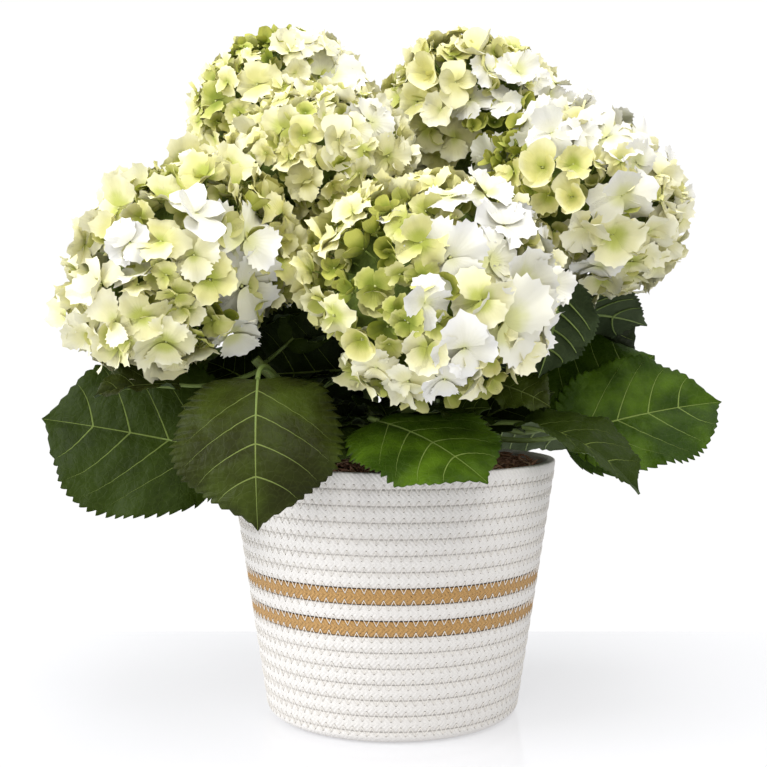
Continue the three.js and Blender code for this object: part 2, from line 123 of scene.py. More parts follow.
def maths(tree, operation, *values):
    """One step of arithmetic, in a shader or in a geometry tree."""
    node = add_node(tree, "ShaderNodeMath", operation=operation)
    for socket, value in zip(node.inputs, values):
        feed(tree, socket, value)
    return node.outputs[0]


def clear_ramp(tree, value, low, high, to_low=0.0, to_high=1.0):
    """The value carried smoothly from one span to another."""
    spans = {"Value": value, "From Min": low, "From Max": high, "To Min": to_low, "To Max": to_high}
    node = add_node(tree, "ShaderNodeMapRange", spans, interpolation_type="SMOOTHSTEP")
    return node.outputs["Result"]


def blend(tree, factor, low, high, mode="MIX"):
    """A colour between two colours."""
    node = add_node(tree, "ShaderNodeMix", data_type="RGBA", blend_type=mode)
    feed(tree, node.inputs["Factor"], factor)
    feed(tree, node.inputs[6], low)
    feed(tree, node.inputs[7], high)
    return node.outputs[2]


def new_material(name, **constants):
    """A material with one Principled BSDF, whose plain numbers are set on its own sockets."""
    material = bpy.data.materials.new(name)
    material.use_nodes = True
    shader = material.node_tree.nodes["Principled BSDF"]
    for socket, value in constants.items():
        shader.inputs[socket.replace("_", " ")].default_value = value
    return material, material.node_tree, shader


def bump(tree, height, distance, strength=1.0):
    """Small relief that is too fine for the mesh; distance is in metres."""
    inputs = {"Height": height, "Distance": distance, "Strength": strength}
    return add_node(tree, "ShaderNodeBump", inputs).outputs["Normal"]


def noise(tree, vector, scale, detail=3.0, roughness=0.5):
    """Soft mottling over a surface."""
    inputs = {"Vector": vector, "Scale": scale, "Detail": detail, "Roughness": roughness}
    return add_node(tree, "ShaderNodeTexNoise", inputs).outputs["Fac"]


def object_place(tree):
    """Each point's place on its own object."""
    return add_node(tree, "ShaderNodeTexCoord").outputs["Object"]


def mottled_material(name, low, high, scale, detail=3.0, relief=0.0, **constants):
    """A material mottled between two colours, and raised by the same mottling if relief is given."""
    material, tree, shader = new_material(name, **constants)
    mottling = noise(tree, object_place(tree), scale, detail)
    feed(tree, shader.inputs["Base Color"], blend(tree, mottling, srgb(*low), srgb(*high)))
    if relief:
        feed(tree, shader.inputs["Normal"], bump(tree, mottling, relief))
    return material


def new_group(name, kind, inputs, outputs):
    """An empty node group with named inputs and outputs, each given by its kind of socket."""
    group = bpy.data.node_groups.new(name, kind)
    for way, sockets in (("INPUT", inputs), ("OUTPUT", outputs)):
        for label, socket in sockets.items():
            group.interface.new_socket(label, in_out=way, socket_type="NodeSocket" + socket)
    return group, group.nodes.new("NodeGroupInput").outputs, group.nodes.new("NodeGroupOutput").inputs

# %% Mesh helpers
def make_object(name, points, faces, materials, slots=None, smooth=True):
    """An object at the origin, from points in millimetres and faces as lists of point numbers."""
    mesh = bpy.data.meshes.new(name)
    faces = faces.tolist() if isinstance(faces, np.ndarray) else faces
    mesh.from_pydata((np.asarray(points) * MM).tolist(), [], faces)
    for material in materials:
        mesh.materials.append(material)
    if slots is not None:
        mesh.polygons.foreach_set("material_index", np.asarray(slots, dtype=np.int32))
    mesh.polygons.foreach_set("use_smooth", np.full(len(mesh.polygons), smooth))
    mesh.update()
    piece = bpy.data.objects.new(name, mesh)
    bpy.context.collection.objects.link(piece)
    return piece


def grid_faces(rows, columns, closed_rows=False):
    """Quads between rows of points; with closed_rows each row joins up with its own start."""
    last = columns if closed_rows else columns - 1
    row, column = np.meshgrid(np.arange(rows - 1), np.arange(last), indexing="ij")
    here = row * columns + column
    beside = row * columns + (column + 1) % columns
    quads = np.stack([here, beside, beside + columns, here + columns], axis=-1)
    return quads.reshape(-1, 4)


def unit(vectors):
    """The same directions with a length of one."""
    vectors = np.asarray(vectors, dtype=float)
    return vectors / np.linalg.norm(vectors, axis=-1, keepdims=True)


def triangles(piece):
    """How many triangles a piece would be cut into."""
    return sum(len(polygon.vertices) - 2 for polygon in piece.data.polygons)


def settle(piece, slot_name, *nodes):
    """Sets a finished piece on the root body and hides the frame's solids it stands for; slot_name is not
    used.
    """
    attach(piece, "root")
    if nodes:
        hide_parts(*nodes)
    print(piece.name, "triangles:", triangles(piece))

# %% Table
table_top = mottled_material("pale_table", (174, 175, 179), (180, 180, 183), 3.0, Roughness=0.14,
                             Emission_Color=srgb(254, 254, 255), Emission_Strength=0.39)
TABLE = {"x": (-1600, 1600), "y": (-1400, 199), "z": (-30, 0)}
corners = np.array([[x, y, z] for z in TABLE["z"] for y in TABLE["y"] for x in TABLE["x"]], float)
box_faces = [[0, 2, 3, 1], [4, 5, 7, 6], [0, 1, 5, 4], [2, 6, 7, 3], [0, 4, 6, 2], [1, 3, 7, 5]]
table = make_object("table", corners, box_faces, [table_top], smooth=False)

# %% Light
world = bpy.data.worlds.new("studio")
world.use_nodes = True
bpy.context.scene.world = world
sky = world.node_tree.nodes["Background"]
rays = add_node(world.node_tree, "ShaderNodeLightPath").outputs
AMBIENT, IN_GLOSS, IN_VIEW = 0.7, 0.8, 1.02
glow = maths(world.node_tree, "MULTIPLY_ADD", rays["Is Camera Ray"], IN_VIEW - AMBIENT, AMBIENT)
glow = maths(world.node_tree, "MULTIPLY_ADD", rays["Is Glossy Ray"], IN_GLOSS - AMBIENT, glow)
feed(world.node_tree, sky.inputs["Strength"], glow)
sky.inputs["Color"].default_value = (1, 1, 1, 1)
LAMPS_AIM = Vector((0, 0, 0.23))


def lamp(name, place, size, power, colour):
    """A square lamp aimed at the middle of the plant."""
    data = bpy.data.lights.new(name, "AREA")
    data.size, data.energy, data.color = size, power, colour
    light = bpy.data.objects.new(name, data)
    light.location = place
    light.rotation_euler = (LAMPS_AIM - Vector(place)).to_track_quat("-Z", "Y").to_euler()
    bpy.context.collection.objects.link(light)


lamp("lamp_high_front", (0.15, -0.85, 1.25), 0.8, 8.5, (1.0, 0.99, 0.97))
lamp("lamp_left", (-1.45, -0.5, 0.8), 1.2, 20, (0.98, 0.99, 1.0))
lamp("lamp_above", (0.2, 0.0, 1.4), 1.0, 7, (1.0, 1.0, 0.99))
bpy.context.scene.view_settings.view_transform = "Standard"

# %% [markdown]
# ## The planter
# The basket is one long rope, coiled row on row and sewn together with a zigzag thread. A lathe of
# the rope's rounded profile gives the rows; each point is then drawn in a little where the thread
# pulls, which makes the rows puffy. Rows of jute are pieces of their own. The strands of the
# braid are finer than the mesh, so they are relief in the material, drawn on each row's own UV map.

# %% Planter sizes
# Lengths are in millimetres, and heights are counted from the underside.
ROW_PITCH, ROWS, FIRST_ROW = 9.3, 17, 0.8
BASE_RADIUS, WALL_SLOPE, WALL_THICK = 77, 0.153, 6
SEAM_DEPTH, ROW_ROUNDNESS = 1.3, 0.8
FOOT_ROUND, FOOT_ROUNDNESS, FOOT_SHARE = 5, 1.8, 0.5
TAN_ROWS = (7, 9)
GAP = 0.3
SOIL_BELOW_RIM, SOIL_DOME, SOIL_FLAT = 6, 3, 0.55
STITCH_PITCH = 5.5
SEAM_PULL, PULL_SHARE = 0.28, 0.34  # how far thread draws the rope in, and over how much of a row
FLOOR_TOP, FLOOR_STEPS, FLOOR_GROOVE = 6, 61, 0.5
RIM_OUTSIDE = ((0.8, 0.1), (2.4, 0.0))  # how far in from the outside and how far down
RIM_INSIDE = ((1.2, 0.2), (0.0, 1.5))  # how far out from the inside and how far down
AROUND = 600


def seam_height(row):
    """The foot of a row of rope, counted from 0 at the underside."""
    return max(0.0, (row - 1 + FIRST_ROW) * ROW_PITCH)


def wall_radius(z):
    """How far the outside of the planter's wall lies from its axis at a height."""
    return BASE_RADIUS + WALL_SLOPE * z


def inner_radius(z):
    """How far the inside of the wall lies from the axis."""
    return wall_radius(z) - WALL_THICK


RIM = seam_height(ROWS)
SOIL_TOP = RIM - SOIL_BELOW_RIM


def stitches_in(row):
    """How many zigzags of thread go once round a seam."""
    return round(2 * math.pi * wall_radius(seam_height(row)) / STITCH_PITCH)


print("rim height in mm:", round(RIM, 2))

# %% Rope materials
STRANDS, STRAND_SLANT = 2.0, 3.2
print("strands of the braid between two stitches:", STRANDS)


def rope_relief():
    """The braid as a node group: chevrons of strands, puckered between the seams, with painted shade in the
    grooves between strands and along the seams between rows, and dark specks.
    """
    group, given, out = new_group("braid", "ShaderNodeTree", {"Strands": "Float", "Contrast": "Float"},
                                  {"Height": "Float", "Shade": "Float"})
    place = add_node(group, "ShaderNodeUVMap", uv_map="rope").outputs[0]
    parts = add_node(group, "ShaderNodeSeparateXYZ", {0: place}).outputs
    in_row = maths(group, "FRACT", parts["Y"])
    from_middle = maths(group, "ABSOLUTE", maths(group, "SUBTRACT", in_row, 0.5))
    slant = maths(group, "MULTIPLY", from_middle, STRAND_SLANT)
    along = maths(group, "ADD", maths(group, "MULTIPLY", parts["X"], given["Strands"]), slant)
    wave = maths(group, "SINE", maths(group, "MULTIPLY", along, 2 * math.pi))
    strand = maths(group, "MULTIPLY_ADD", wave, 0.5, 0.5)
    fuzz = noise(group, object_place(group), 1500.0, 3.0)
    ply = maths(group, "MULTIPLY_ADD", fuzz, 1.1, strand)
    feed(group, out["Height"], ply)
    # Painted shade: the rope darkens towards the seams between rows (edge) and in the grooves between strands
    # (groove). The specks are the rope's own flecks.
    edge = clear_ramp(group, from_middle, 0.43, 0.5)
    groove = clear_ramp(group, strand, 0.28, 0.0)
    specks = clear_ramp(group, fuzz, 0.42, 0.3)
    shade = maths(group, "MULTIPLY_ADD", groove, 0.14, maths(group, "MULTIPLY", edge, 0.5))
    shade = maths(group, "MULTIPLY_ADD", specks, 0.4, maths(group, "ADD", shade, 0.08))
    feed(group, out["Shade"], maths(group, "MULTIPLY", shade, given["Contrast"]))
    return group


BRAID = rope_relief()


def rope_material(name, pale, deep, contrast, relief):
    """Braided rope; its deep colour is painted shade in the grooves and seams, and the colour of its dark
    specks.
    """
    material, tree, shader = new_material(name, Roughness=0.9, Sheen_Weight=0.12, Sheen_Roughness=0.6,
                                          Specular_IOR_Level=0.25)
    braid = add_node(tree, "ShaderNodeGroup", {"Strands": STRANDS, "Contrast": contrast}, node_tree=BRAID)
    feed(tree, shader.inputs["Base Color"], blend(tree, braid.outputs["Shade"], srgb(*pale), srgb(*deep)))
    feed(tree, shader.inputs["Normal"], bump(tree, braid.outputs["Height"], relief))
    return material


# Each rope's second colour is painted shade for its grooves and seams, and also the colour of its specks.
cotton = rope_material("cotton_rope", (236, 233, 229), (170, 164, 158), 0.85, 0.00016)
jute = rope_material("jute_rope", (208, 164, 102), (84, 52, 24), 1.7, 0.0005)

# %% Rope rows
ROW_SHARES = np.array([0.0, 0.04, 0.11, 0.22, 0.36, 0.5, 0.64, 0.78, 0.89, 0.96])
WELD_WITHIN, IN_ROW = 1e-6, 0.01  # IN_ROW takes a place off its seam, into the row above


def row_height(share):
    """The height of a place in the rope, a place being counted in rows from the underside."""
    return np.interp(share, np.arange(ROWS + 1), [seam_height(row) for row in range(ROWS + 1)])


def rope_radius(share, height):
    """How far out the rounded outside of the rope lies at a place in it."""
    swell = np.sqrt(np.clip(1 - (2 * (share % 1) - 1) ** 2, 0, 1)) ** ROW_ROUNDNESS
    return wall_radius(height) - SEAM_DEPTH * (1 - swell)


def row_profile(first, last):
    """Radius, height and place in the rope for each point up the outside of some rows."""
    shares = np.concatenate([row + ROW_SHARES for row in range(first, last)] + [[last]])
    heights = row_height(shares)
    radii = rope_radius(shares, heights)
    if first == 0:
        tuck = np.clip(1 - heights / (FOOT_SHARE * ROW_PITCH), 0, 1)
        radii -= FOOT_ROUND * tuck ** FOOT_ROUNDNESS
    return radii, heights, shares

# %% A stretch of rope rows
def rope_stretch(name, first, last, material):
    """Rows first to last - 1 as a closed ring; the lowest stretch has a coiled floor."""
    radii, heights, shares = row_profile(first, last)
    heights = heights.clip(seam_height(first) + (GAP / 2 if first else 0),
                           seam_height(last) - (GAP / 2 if last < ROWS else 0))
    low, top = heights[0], heights[-1]
    if last == ROWS:  # the rim is the top of the last round of rope
        edge = [(radii[-1] - inwards, top - down, last) for inwards, down in RIM_OUTSIDE]
        edge += [(inner_radius(top) + outwards, top - down, last) for outwards, down in RIM_INSIDE]
    else:
        edge = [(inner_radius(top), top, last)]
    floor = []
    if first == 0:
        coil = np.linspace(radii[0], 0, FLOOR_STEPS)[1:]
        groove = FLOOR_GROOVE * np.abs(np.cos(np.pi * coil / ROW_PITCH)) ** 4
        floor = [(radius, z, 0) for radius, z in zip(coil, groove)]
        edge += [(inner_radius(FLOOR_TOP), FLOOR_TOP, last), (0, FLOOR_TOP, last)]
    else:
        edge += [(inner_radius(low), low, last)]
    profile = np.array(floor[::-1] + list(zip(radii, heights, shares)) + edge, float)
    outer = len(profile) - len(edge)
    angles = np.arange(AROUND) * 2 * math.pi / AROUND
    seam_row = np.round(profile[:, 2])
    turns = np.array([stitches_in(row) for row in seam_row])
    near_seam = np.exp(-(((profile[:, 2] - seam_row) / PULL_SHARE) ** 2))
    side = np.where(profile[:, 2] < seam_row, 0.0, 0.5)
    pull = np.cos(turns[:, None] * angles[None, :] + 2 * math.pi * side[:, None])
    radius = profile[:, 0:1] - SEAM_PULL * near_seam[:, None] * pull
    on_wall = np.zeros(len(profile), bool)
    on_wall[outer - len(radii):outer] = True
    radius = np.where(on_wall[:, None], radius, profile[:, 0:1])
    height = np.repeat(profile[:, 1:2], AROUND, axis=1)
    points = np.stack([radius * np.cos(angles), radius * np.sin(angles), height], axis=-1)
    faces = grid_faces(len(profile), AROUND, closed_rows=True)
    if not floor:  # a ring without a floor joins up inside, from its last points to its first
        ring = np.arange(AROUND)
        beside = (ring + 1) % AROUND
        last_ring = (len(profile) - 1) * AROUND
        faces = np.concatenate([faces, np.stack([ring + last_ring, beside + last_ring, beside, ring], -1)])
    piece = make_object(name, points.reshape(-1, 3), faces, [material])
    uv = piece.data.uv_layers.new(name="rope")
    loops = np.zeros(len(piece.data.loops), dtype=np.int32)
    piece.data.loops.foreach_get("vertex_index", loops)
    column = (loops % AROUND).astype(float).reshape(-1, 4)
    wraps = (column.max(axis=1) - column.min(axis=1)) > AROUND / 2
    column[wraps] = np.where(column[wraps] < 1, AROUND, column[wraps])
    share = profile[loops // AROUND, 2].reshape(-1, 4)
    row_turns = np.array([stitches_in(r) for r in np.floor(share.min(axis=1) + IN_ROW)])
    across = column / AROUND * row_turns[:, None]
    uv.data.foreach_set("uv", np.stack([across, share], axis=-1).ravel())
    if floor:
        piece.modifiers.new("weld", "WELD").merge_threshold = WELD_WITHIN
        bake_modifiers(piece)
    return piece


def bake_modifiers(piece):
    """Turns what a piece's modifiers make into its own plain mesh."""
    view = bpy.context.evaluated_depsgraph_get()
    view.update()
    made = bpy.data.meshes.new_from_object(piece.evaluated_get(view), depsgraph=view)
    piece.modifiers.clear()
    old, piece.data = piece.data, made
    made.name = piece.name
    if old.users == 0:
        bpy.data.meshes.remove(old)

# %% The five stretches
LOW_TAN, HIGH_TAN = TAN_ROWS
STRETCHES = {
    "planter_lower": (0, LOW_TAN, cotton, "white_rope"),
    "rope_tan_lower": (LOW_TAN, LOW_TAN + 1, jute, "tan_rope"),
    "planter_middle": (LOW_TAN + 1, HIGH_TAN, cotton, "white_rope"),
    "rope_tan_upper": (HIGH_TAN, HIGH_TAN + 1, jute, "tan_rope"),
    "planter_upper": (HIGH_TAN + 1, ROWS, cotton, "white_rope"),
}
for node, (first, last, material, slot_name) in STRETCHES.items():
    settle(rope_stretch(node + "_rope", first, last, material), slot_name, node)

# %% [markdown]
# ## Thread, ribs and stalks
# A thread that zigzags over a seam, a rib under a leaf and the stalk of a floret are all the same
# thing to Blender: a round bar along a path. One Geometry Nodes tree sweeps a circle along the
# edges of a path mesh and reads its thickness from the path's own points, so that it serves them all.

# %% A tree that sweeps a round bar along each path
def new_tree(name, **inputs):
    """An empty geometry tree with a Geometry input and output and the named inputs."""
    return new_group(name, "GeometryNodeTree", {"Geometry": "Geometry", **inputs}, {"Geometry": "Geometry"})


def stored(tree, label, kind):
    """What the points of a tree's mesh carry under a name."""
    return add_node(tree, "GeometryNodeInputNamedAttribute", {"Name": label}, data_type=kind).outputs[0]


def finish_tree(tree, geometry, material, out):
    """Ends a tree with plain smooth geometry in one material."""
    realized = add_node(tree, "GeometryNodeRealizeInstances", {0: geometry}).outputs[0]
    smooth = add_node(tree, "GeometryNodeSetShadeSmooth", {0: realized}).outputs[0]
    painted = add_node(tree, "GeometryNodeSetMaterial", {"Geometry": smooth, "Material": material})
    feed(tree, out["Geometry"], painted.outputs[0])


BARS, given, out = new_tree("bar_along_path", Sides="Int", Material="Material")
path = add_node(BARS, "GeometryNodeMeshToCurve", {"Mesh": given["Geometry"]}).outputs[0]
circle = add_node(BARS, "GeometryNodeCurvePrimitiveCircle", {"Resolution": given["Sides"], "Radius": 1.0})
swept = add_node(BARS, "GeometryNodeCurveToMesh",
                 {"Curve": path, "Profile Curve": circle.outputs[0],
                  "Scale": stored(BARS, "thick", "FLOAT"), "Fill Caps": True})
finish_tree(BARS, swept.outputs[0], given["Material"], out)

# %% Run a tree over points and edges
def set_inputs(modifier, values):
    """Gives a modifier its inputs by each socket's identifier, found from its name."""
    sockets = {item.name: item.identifier for item in modifier.node_group.interface.items_tree
               if item.in_out == "INPUT"}
    for name, value in values.items():
        modifier[sockets[name]] = value


def store(mesh, label, kind, values):
    """Gives each point of a mesh a value or a vector under a name."""
    field = "vector" if kind == "FLOAT_VECTOR" else "value"
    mesh.attributes.new(label, kind, "POINT").data.foreach_set(field, np.ravel(values))


def grow(name, points, edges, attributes, tree, values):
    """Runs a tree over a mesh of points and edges and keeps the result as a plain piece."""
    mesh = bpy.data.meshes.new(name)
    mesh.from_pydata((np.asarray(points) * MM).tolist(), np.asarray(edges).tolist(), [])
    for label, (kind, data) in attributes.items():
        store(mesh, label, kind, data)
    piece = bpy.data.objects.new(name, mesh)
    bpy.context.collection.objects.link(piece)
    modifier = piece.modifiers.new(name, "NODES")
    modifier.node_group = tree
    set_inputs(modifier, values)
    bake_modifiers(piece)
    return piece


def bars(name, paths, radii, sides, material):
    """Round bars along paths, each path an array of points, each radius an array of the same length."""
    counts = [len(p) for p in paths]
    starts = np.concatenate([[0], np.cumsum(counts)[:-1]])
    edges = np.concatenate([np.stack([np.arange(s, s + n - 1), np.arange(s + 1, s + n)], axis=-1)
                            for s, n in zip(starts, counts)])
    thick = np.concatenate([np.broadcast_to(r, (n,)) for r, n in zip(radii, counts)]) * MM
    return grow(name, np.concatenate(paths), edges, {"thick": ("FLOAT", thick)}, BARS,
                {"Sides": sides, "Material": material})

# %% Zigzag thread
THREAD_REACH = 0.3  # how far a stitch goes up or down from its seam, as a share of a row
THREAD_RADIUS = 0.23
THREAD_SUNK, HOLE_PROUD = -0.1, 0.03
OVER_SEAM = np.array([[0.12], [0.88]])  # where a stitch comes up from the rope and goes down again
thread = mottled_material("cotton_thread", (252, 250, 246), (222, 216, 206), 2500.0, Roughness=0.75)


def rope_surface(share, angle, off):
    """A point off the outside of the basket, at a place in the rope and round the pot."""
    z = row_height(share)
    radius = rope_radius(share, z) + off
    return np.stack([radius * np.cos(angle), radius * np.sin(angle), z], axis=-1)


stitch_paths, hole_points = [], []
for row in range(1, ROWS):
    count = stitches_in(row)
    angle = np.arange(2 * count) * math.pi / count
    share = row + THREAD_REACH * np.where(np.arange(2 * count) % 2, 1, -1)
    ends = rope_surface(share, angle, THREAD_SUNK)
    above = rope_surface(share, angle, THREAD_RADIUS)
    for i in range(2 * count):
        j = (i + 1) % (2 * count)
        between = above[i] + (above[j] - above[i]) * OVER_SEAM
        stitch_paths.append(np.array([ends[i], *between, ends[j]]))
    hole_points.append(rope_surface(share, angle, HOLE_PROUD))
stitches = bars("zigzag_stitches", stitch_paths, [THREAD_RADIUS] * len(stitch_paths), 4, thread)
settle(stitches, "white_rope")

# %% [markdown]
# ## Needle holes
# Where the needle went in, the rope opens in a pinprick beside the thread, dark with shade. Each is a tiny
# lens in a dark colour, painted shade, set on the rope by a tree that places a shape on every point and turns
# it to face outwards.

# %% A tree that sets shapes on points
def place_shapes(tree, points, collection, pick, turn, size):
    """A shape on every point, picked from a collection, turned and sized."""
    shapes = add_node(tree, "GeometryNodeCollectionInfo",
                      {"Collection": collection, "Separate Children": True, "Reset Children": True})
    turned = add_node(tree, "FunctionNodeEulerToRotation", {0: turn})
    placed = add_node(tree, "GeometryNodeInstanceOnPoints", {
        "Points": points, "Instance": shapes.outputs[0], "Pick Instance": True,
        "Instance Index": pick, "Rotation": turned.outputs[0], "Scale": size})
    return placed.outputs[0]


SETTER, given, out = new_tree("shapes_on_points", Shapes="Collection", Material="Material")
set_down = place_shapes(SETTER, given["Geometry"], given["Shapes"], stored(SETTER, "pick", "INT"),
                        stored(SETTER, "facing", "FLOAT_VECTOR"), stored(SETTER, "size", "FLOAT"))
finish_tree(SETTER, set_down, given["Material"], out)

# %% Template shapes
def shape_box(name, shapes):
    """Keeps template shapes out of the scene, in a collection that a tree can pick from."""
    collection = bpy.data.collections.new(name)
    for number, (points, faces, places) in enumerate(shapes):
        mesh = bpy.data.meshes.new(f"{name}_{number:02d}")
        mesh.from_pydata(np.asarray(points).tolist(), [], [list(map(int, f)) for f in faces])
        if places is not None:
            store(mesh, "petal_place", "FLOAT_VECTOR", places)
        collection.objects.link(bpy.data.objects.new(f"{name}_{number:02d}", mesh))
    return collection


def clear_box(collection):
    """Throws the template shapes away."""
    for shape in list(collection.objects):
        mesh = shape.data
        bpy.data.objects.remove(shape)
        bpy.data.meshes.remove(mesh)
    bpy.data.collections.remove(collection)


def facing(out_vectors, spins):
    """Euler turns that carry +Z to each outward direction, after a spin about it."""
    turns = [(Vector(o).to_track_quat("Z", "Y").to_matrix() @ Matrix.Rotation(s, 3, "Z")).to_euler()
             for o, s in zip(out_vectors, spins)]
    return np.array([tuple(t) for t in turns])


def set_shapes(name, collection, points, turns, sizes, picks, tones, material):
    """Shapes on points, turned and sized, as one plain piece. Sizes are in millimetres."""
    attributes = {"facing": ("FLOAT_VECTOR", turns), "size": ("FLOAT", np.asarray(sizes) * MM),
                  "pick": ("INT", np.asarray(picks, dtype=np.int32)), "tone": ("FLOAT", tones)}
    return grow(name, points, np.zeros((0, 2), int), attributes, SETTER,
                {"Shapes": collection, "Material": material})

# %% Needle holes
HOLE_SIZE = 0.48
# The holes' dark colour is painted shade.
hole_shade = mottled_material("needle_hole", (92, 84, 76), (150, 140, 130), 600.0, Roughness=1.0)
ring = np.arange(6) * math.pi / 3
lens = np.concatenate([np.stack([np.cos(ring), 0.8 * np.sin(ring), -0.2 + 0 * ring], -1), [[0, 0, 0.25]]])
lens_sides = [(i, (i + 1) % len(ring), len(ring)) for i in range(len(ring))]
hole_box = shape_box("hole", [(lens, lens_sides, None)])
hole_points = np.concatenate(hole_points)
zeros = np.zeros(len(hole_points))
holes = set_shapes("needle_holes", hole_box, hole_points, facing(hole_points * (1, 1, 0), zeros),
                   zeros + HOLE_SIZE, zeros, zeros, hole_shade)
settle(holes, "white_rope")
clear_box(hole_box)

# %% [markdown]
# ## The growing mix
# The pot is filled to just below its rim with shredded bark. The filling itself stays the frame's
# own solid with a dark finish. On it lies a loose layer of shreds, scattered by a tree over the
# surface from a fixed seed, a few of them pale where the fibre has split.

# %% Growing mix and shreds
mix_finish = mottled_material("growing_mix_finish", (38, 24, 20), (104, 70, 52), 260.0, 6.0, 0.002,
                              Roughness=0.95)
for slot_holder in frame["nodes"]["growing_mix"].material_slots:
    slot_holder.material = mix_finish


def random_value(tree, kind, low, high, seed_socket, shift):
    """A random value for each point, from a seed and a shift of its own."""
    node = add_node(tree, "FunctionNodeRandomValue", data_type=kind)
    ports = [s for s in node.inputs if s.enabled]
    feed(tree, ports[0], low)
    feed(tree, ports[1], high)
    feed(tree, node.inputs["Seed"], maths(tree, "ADD", seed_socket, shift))
    return next(s for s in node.outputs if s.enabled)


SCATTER, given, out = new_tree(
    "shreds_on_surface", Shapes="Collection", Density="Float", Seed="Int", Material="Material")
spread = add_node(SCATTER, "GeometryNodeDistributePointsOnFaces", {
    "Mesh": given["Geometry"], "Density": given["Density"], "Seed": given["Seed"]})
tumble = random_value(SCATTER, "FLOAT_VECTOR", (-0.5, -0.5, 0), (0.5, 0.5, 6.283), given["Seed"], 1)
grown = random_value(SCATTER, "FLOAT", 0.55, 1.25, given["Seed"], 2)
which = random_value(SCATTER, "INT", 0, 3, given["Seed"], 3)
laid = place_shapes(SCATTER, spread.outputs[0], given["Shapes"], which, tumble, grown)
finish_tree(SCATTER, laid, given["Material"], out)

# %% Shreds of bark and fibre
SHRED_STEPS, SHRED_SIDES, SHRED_RAGGED = 6, 4, 0.0004


def shred(length, width, bend, seed):
    """A torn strip of bark or fibre: a bent, pointed bar of four sides. Sizes in metres."""
    rng = np.random.default_rng(seed)
    t = np.linspace(0, 1, SHRED_STEPS)
    line = np.stack([(t - 0.5) * length, bend * np.sin(math.pi * t), bend * 0.5 * np.sin(4 * t)], -1)
    line += rng.normal(0, SHRED_RAGGED, line.shape)
    half = width * (0.25 + np.sin(math.pi * t) ** 0.5)
    ring = np.array([[0, 1, 0], [0, 0, 0.5], [0, -1, 0], [0, 0, -0.5]])
    points = (line[:, None, :] + half[:, None, None] * ring[None]).reshape(-1, 3)
    sides = grid_faces(SHRED_STEPS, SHRED_SIDES, closed_rows=True)[:, ::-1].tolist()
    ends = np.arange(SHRED_SIDES), np.arange(len(points))[:-SHRED_SIDES - 1:-1]
    return points, sides + [end.tolist() for end in ends], None


BED_RINGS, BED_AROUND = 12, 40
BED_FROM, BED_OFF_WALL, BED_REACH, BED_LIFT = 4, 6, 94, 0.8
bed_radius = np.linspace(BED_FROM, inner_radius(SOIL_TOP) - BED_OFF_WALL, BED_RINGS)[:, None]
bed_angle = np.arange(BED_AROUND) * 2 * math.pi / BED_AROUND
bed_dome = np.clip((2 * SOIL_FLAT - bed_radius / BED_REACH) / SOIL_FLAT, 0, 1)
bed_z = SOIL_TOP + SOIL_DOME * bed_dome + BED_LIFT + 0 * bed_angle
bed = np.stack([bed_radius * np.cos(bed_angle), bed_radius * np.sin(bed_angle), bed_z], -1).reshape(-1, 3)


def scatter(name, length, width, bends, first_seed, density, seed, material):
    """Shreds strewn over the bed of growing mix, as one plain piece; density is in shreds per m2."""
    shapes = [shred(length, width, bend, first_seed + i) for i, bend in enumerate(bends)]
    box = shape_box(name + "_shape", shapes)
    piece = make_object(name, bed, grid_faces(BED_RINGS, BED_AROUND, closed_rows=True), [material])
    modifier = piece.modifiers.new(name, "NODES")
    modifier.node_group = SCATTER
    set_inputs(modifier, {"Shapes": box, "Density": density, "Seed": seed, "Material": material})
    bake_modifiers(piece)
    clear_box(box)
    settle(piece, "growing_mix")


bark_shred = mottled_material("bark_shred", (96, 62, 48), (196, 146, 114), 420.0, 4.0, Roughness=0.9)
pale_fibre = mottled_material("pale_fibre", (176, 138, 106), (236, 206, 172), 300.0, 4.0, Roughness=0.85)
scatter("bark_shreds", length=0.017, width=0.0009, bends=(0.001, 0.003, -0.002, 0.004), first_seed=0,
        density=48000, seed=3, material=bark_shred)
scatter("pale_fibres", length=0.021, width=0.0004, bends=(0.003, 0.005, -0.004, 0.002), first_seed=9,
        density=13000, seed=8, material=pale_fibre)

# %% [markdown]
# ## Canes
# Eight green-brown canes rise from the mix. Each leaves it nearly upright and bends over towards
# its own flower head. The same bar tree sweeps them, a little swollen where a large leaf grows from
# them, and the bark has raised corky dots.

# %% The plant's named sizes
CANE_BASE_RADIUS, CANE_TIP_RADIUS = 4.4, 3.0
CANE_UPRIGHT, CANE_SPREAD, CANE_INTO_HEAD = 0.45, 0.1, 0.35
STEM_SHARE = 0.86
HEADS = {
    "front": dict(at=(21, -80, 255), reach=77, flat=0.85, lean=38, towards=285, foot=(8, -20)),
    "left": dict(at=(-122, -44, 271), reach=78, flat=0.8, lean=38, towards=197, foot=(-30, -10)),
    "right": dict(at=(117, 0, 316), reach=71, flat=0.82, lean=35, towards=5, foot=(30, 0)),
    "upper_left": dict(at=(-46, -6, 339), reach=61, flat=0.78, lean=15, towards=235, foot=(-9, 3)),
    "back_left": dict(at=(-77, 95, 390), reach=66, flat=0.77, lean=25, towards=128, foot=(-16, 22)),
    "back_right": dict(at=(57, 73, 381), reach=67, flat=0.78, lean=20, towards=50, foot=(11, 17)),
    "low_back_left": dict(at=(-100, 84, 288), reach=58, flat=0.82, lean=42, towards=142, foot=(-34, 14)),
    "low_back_right": dict(at=(54, 114, 286), reach=60, flat=0.82, lean=42, towards=65, foot=(22, 32)),
}


def head_axis(head):
    """The way a head's crown looks."""
    lean, towards = math.radians(head["lean"]), math.radians(head["towards"])
    return np.array([math.sin(lean) * math.cos(towards), math.sin(lean) * math.sin(towards), math.cos(lean)])


def head_centre(head):
    """The middle of a head, as numbers to reckon with."""
    return np.array(head["at"], float)

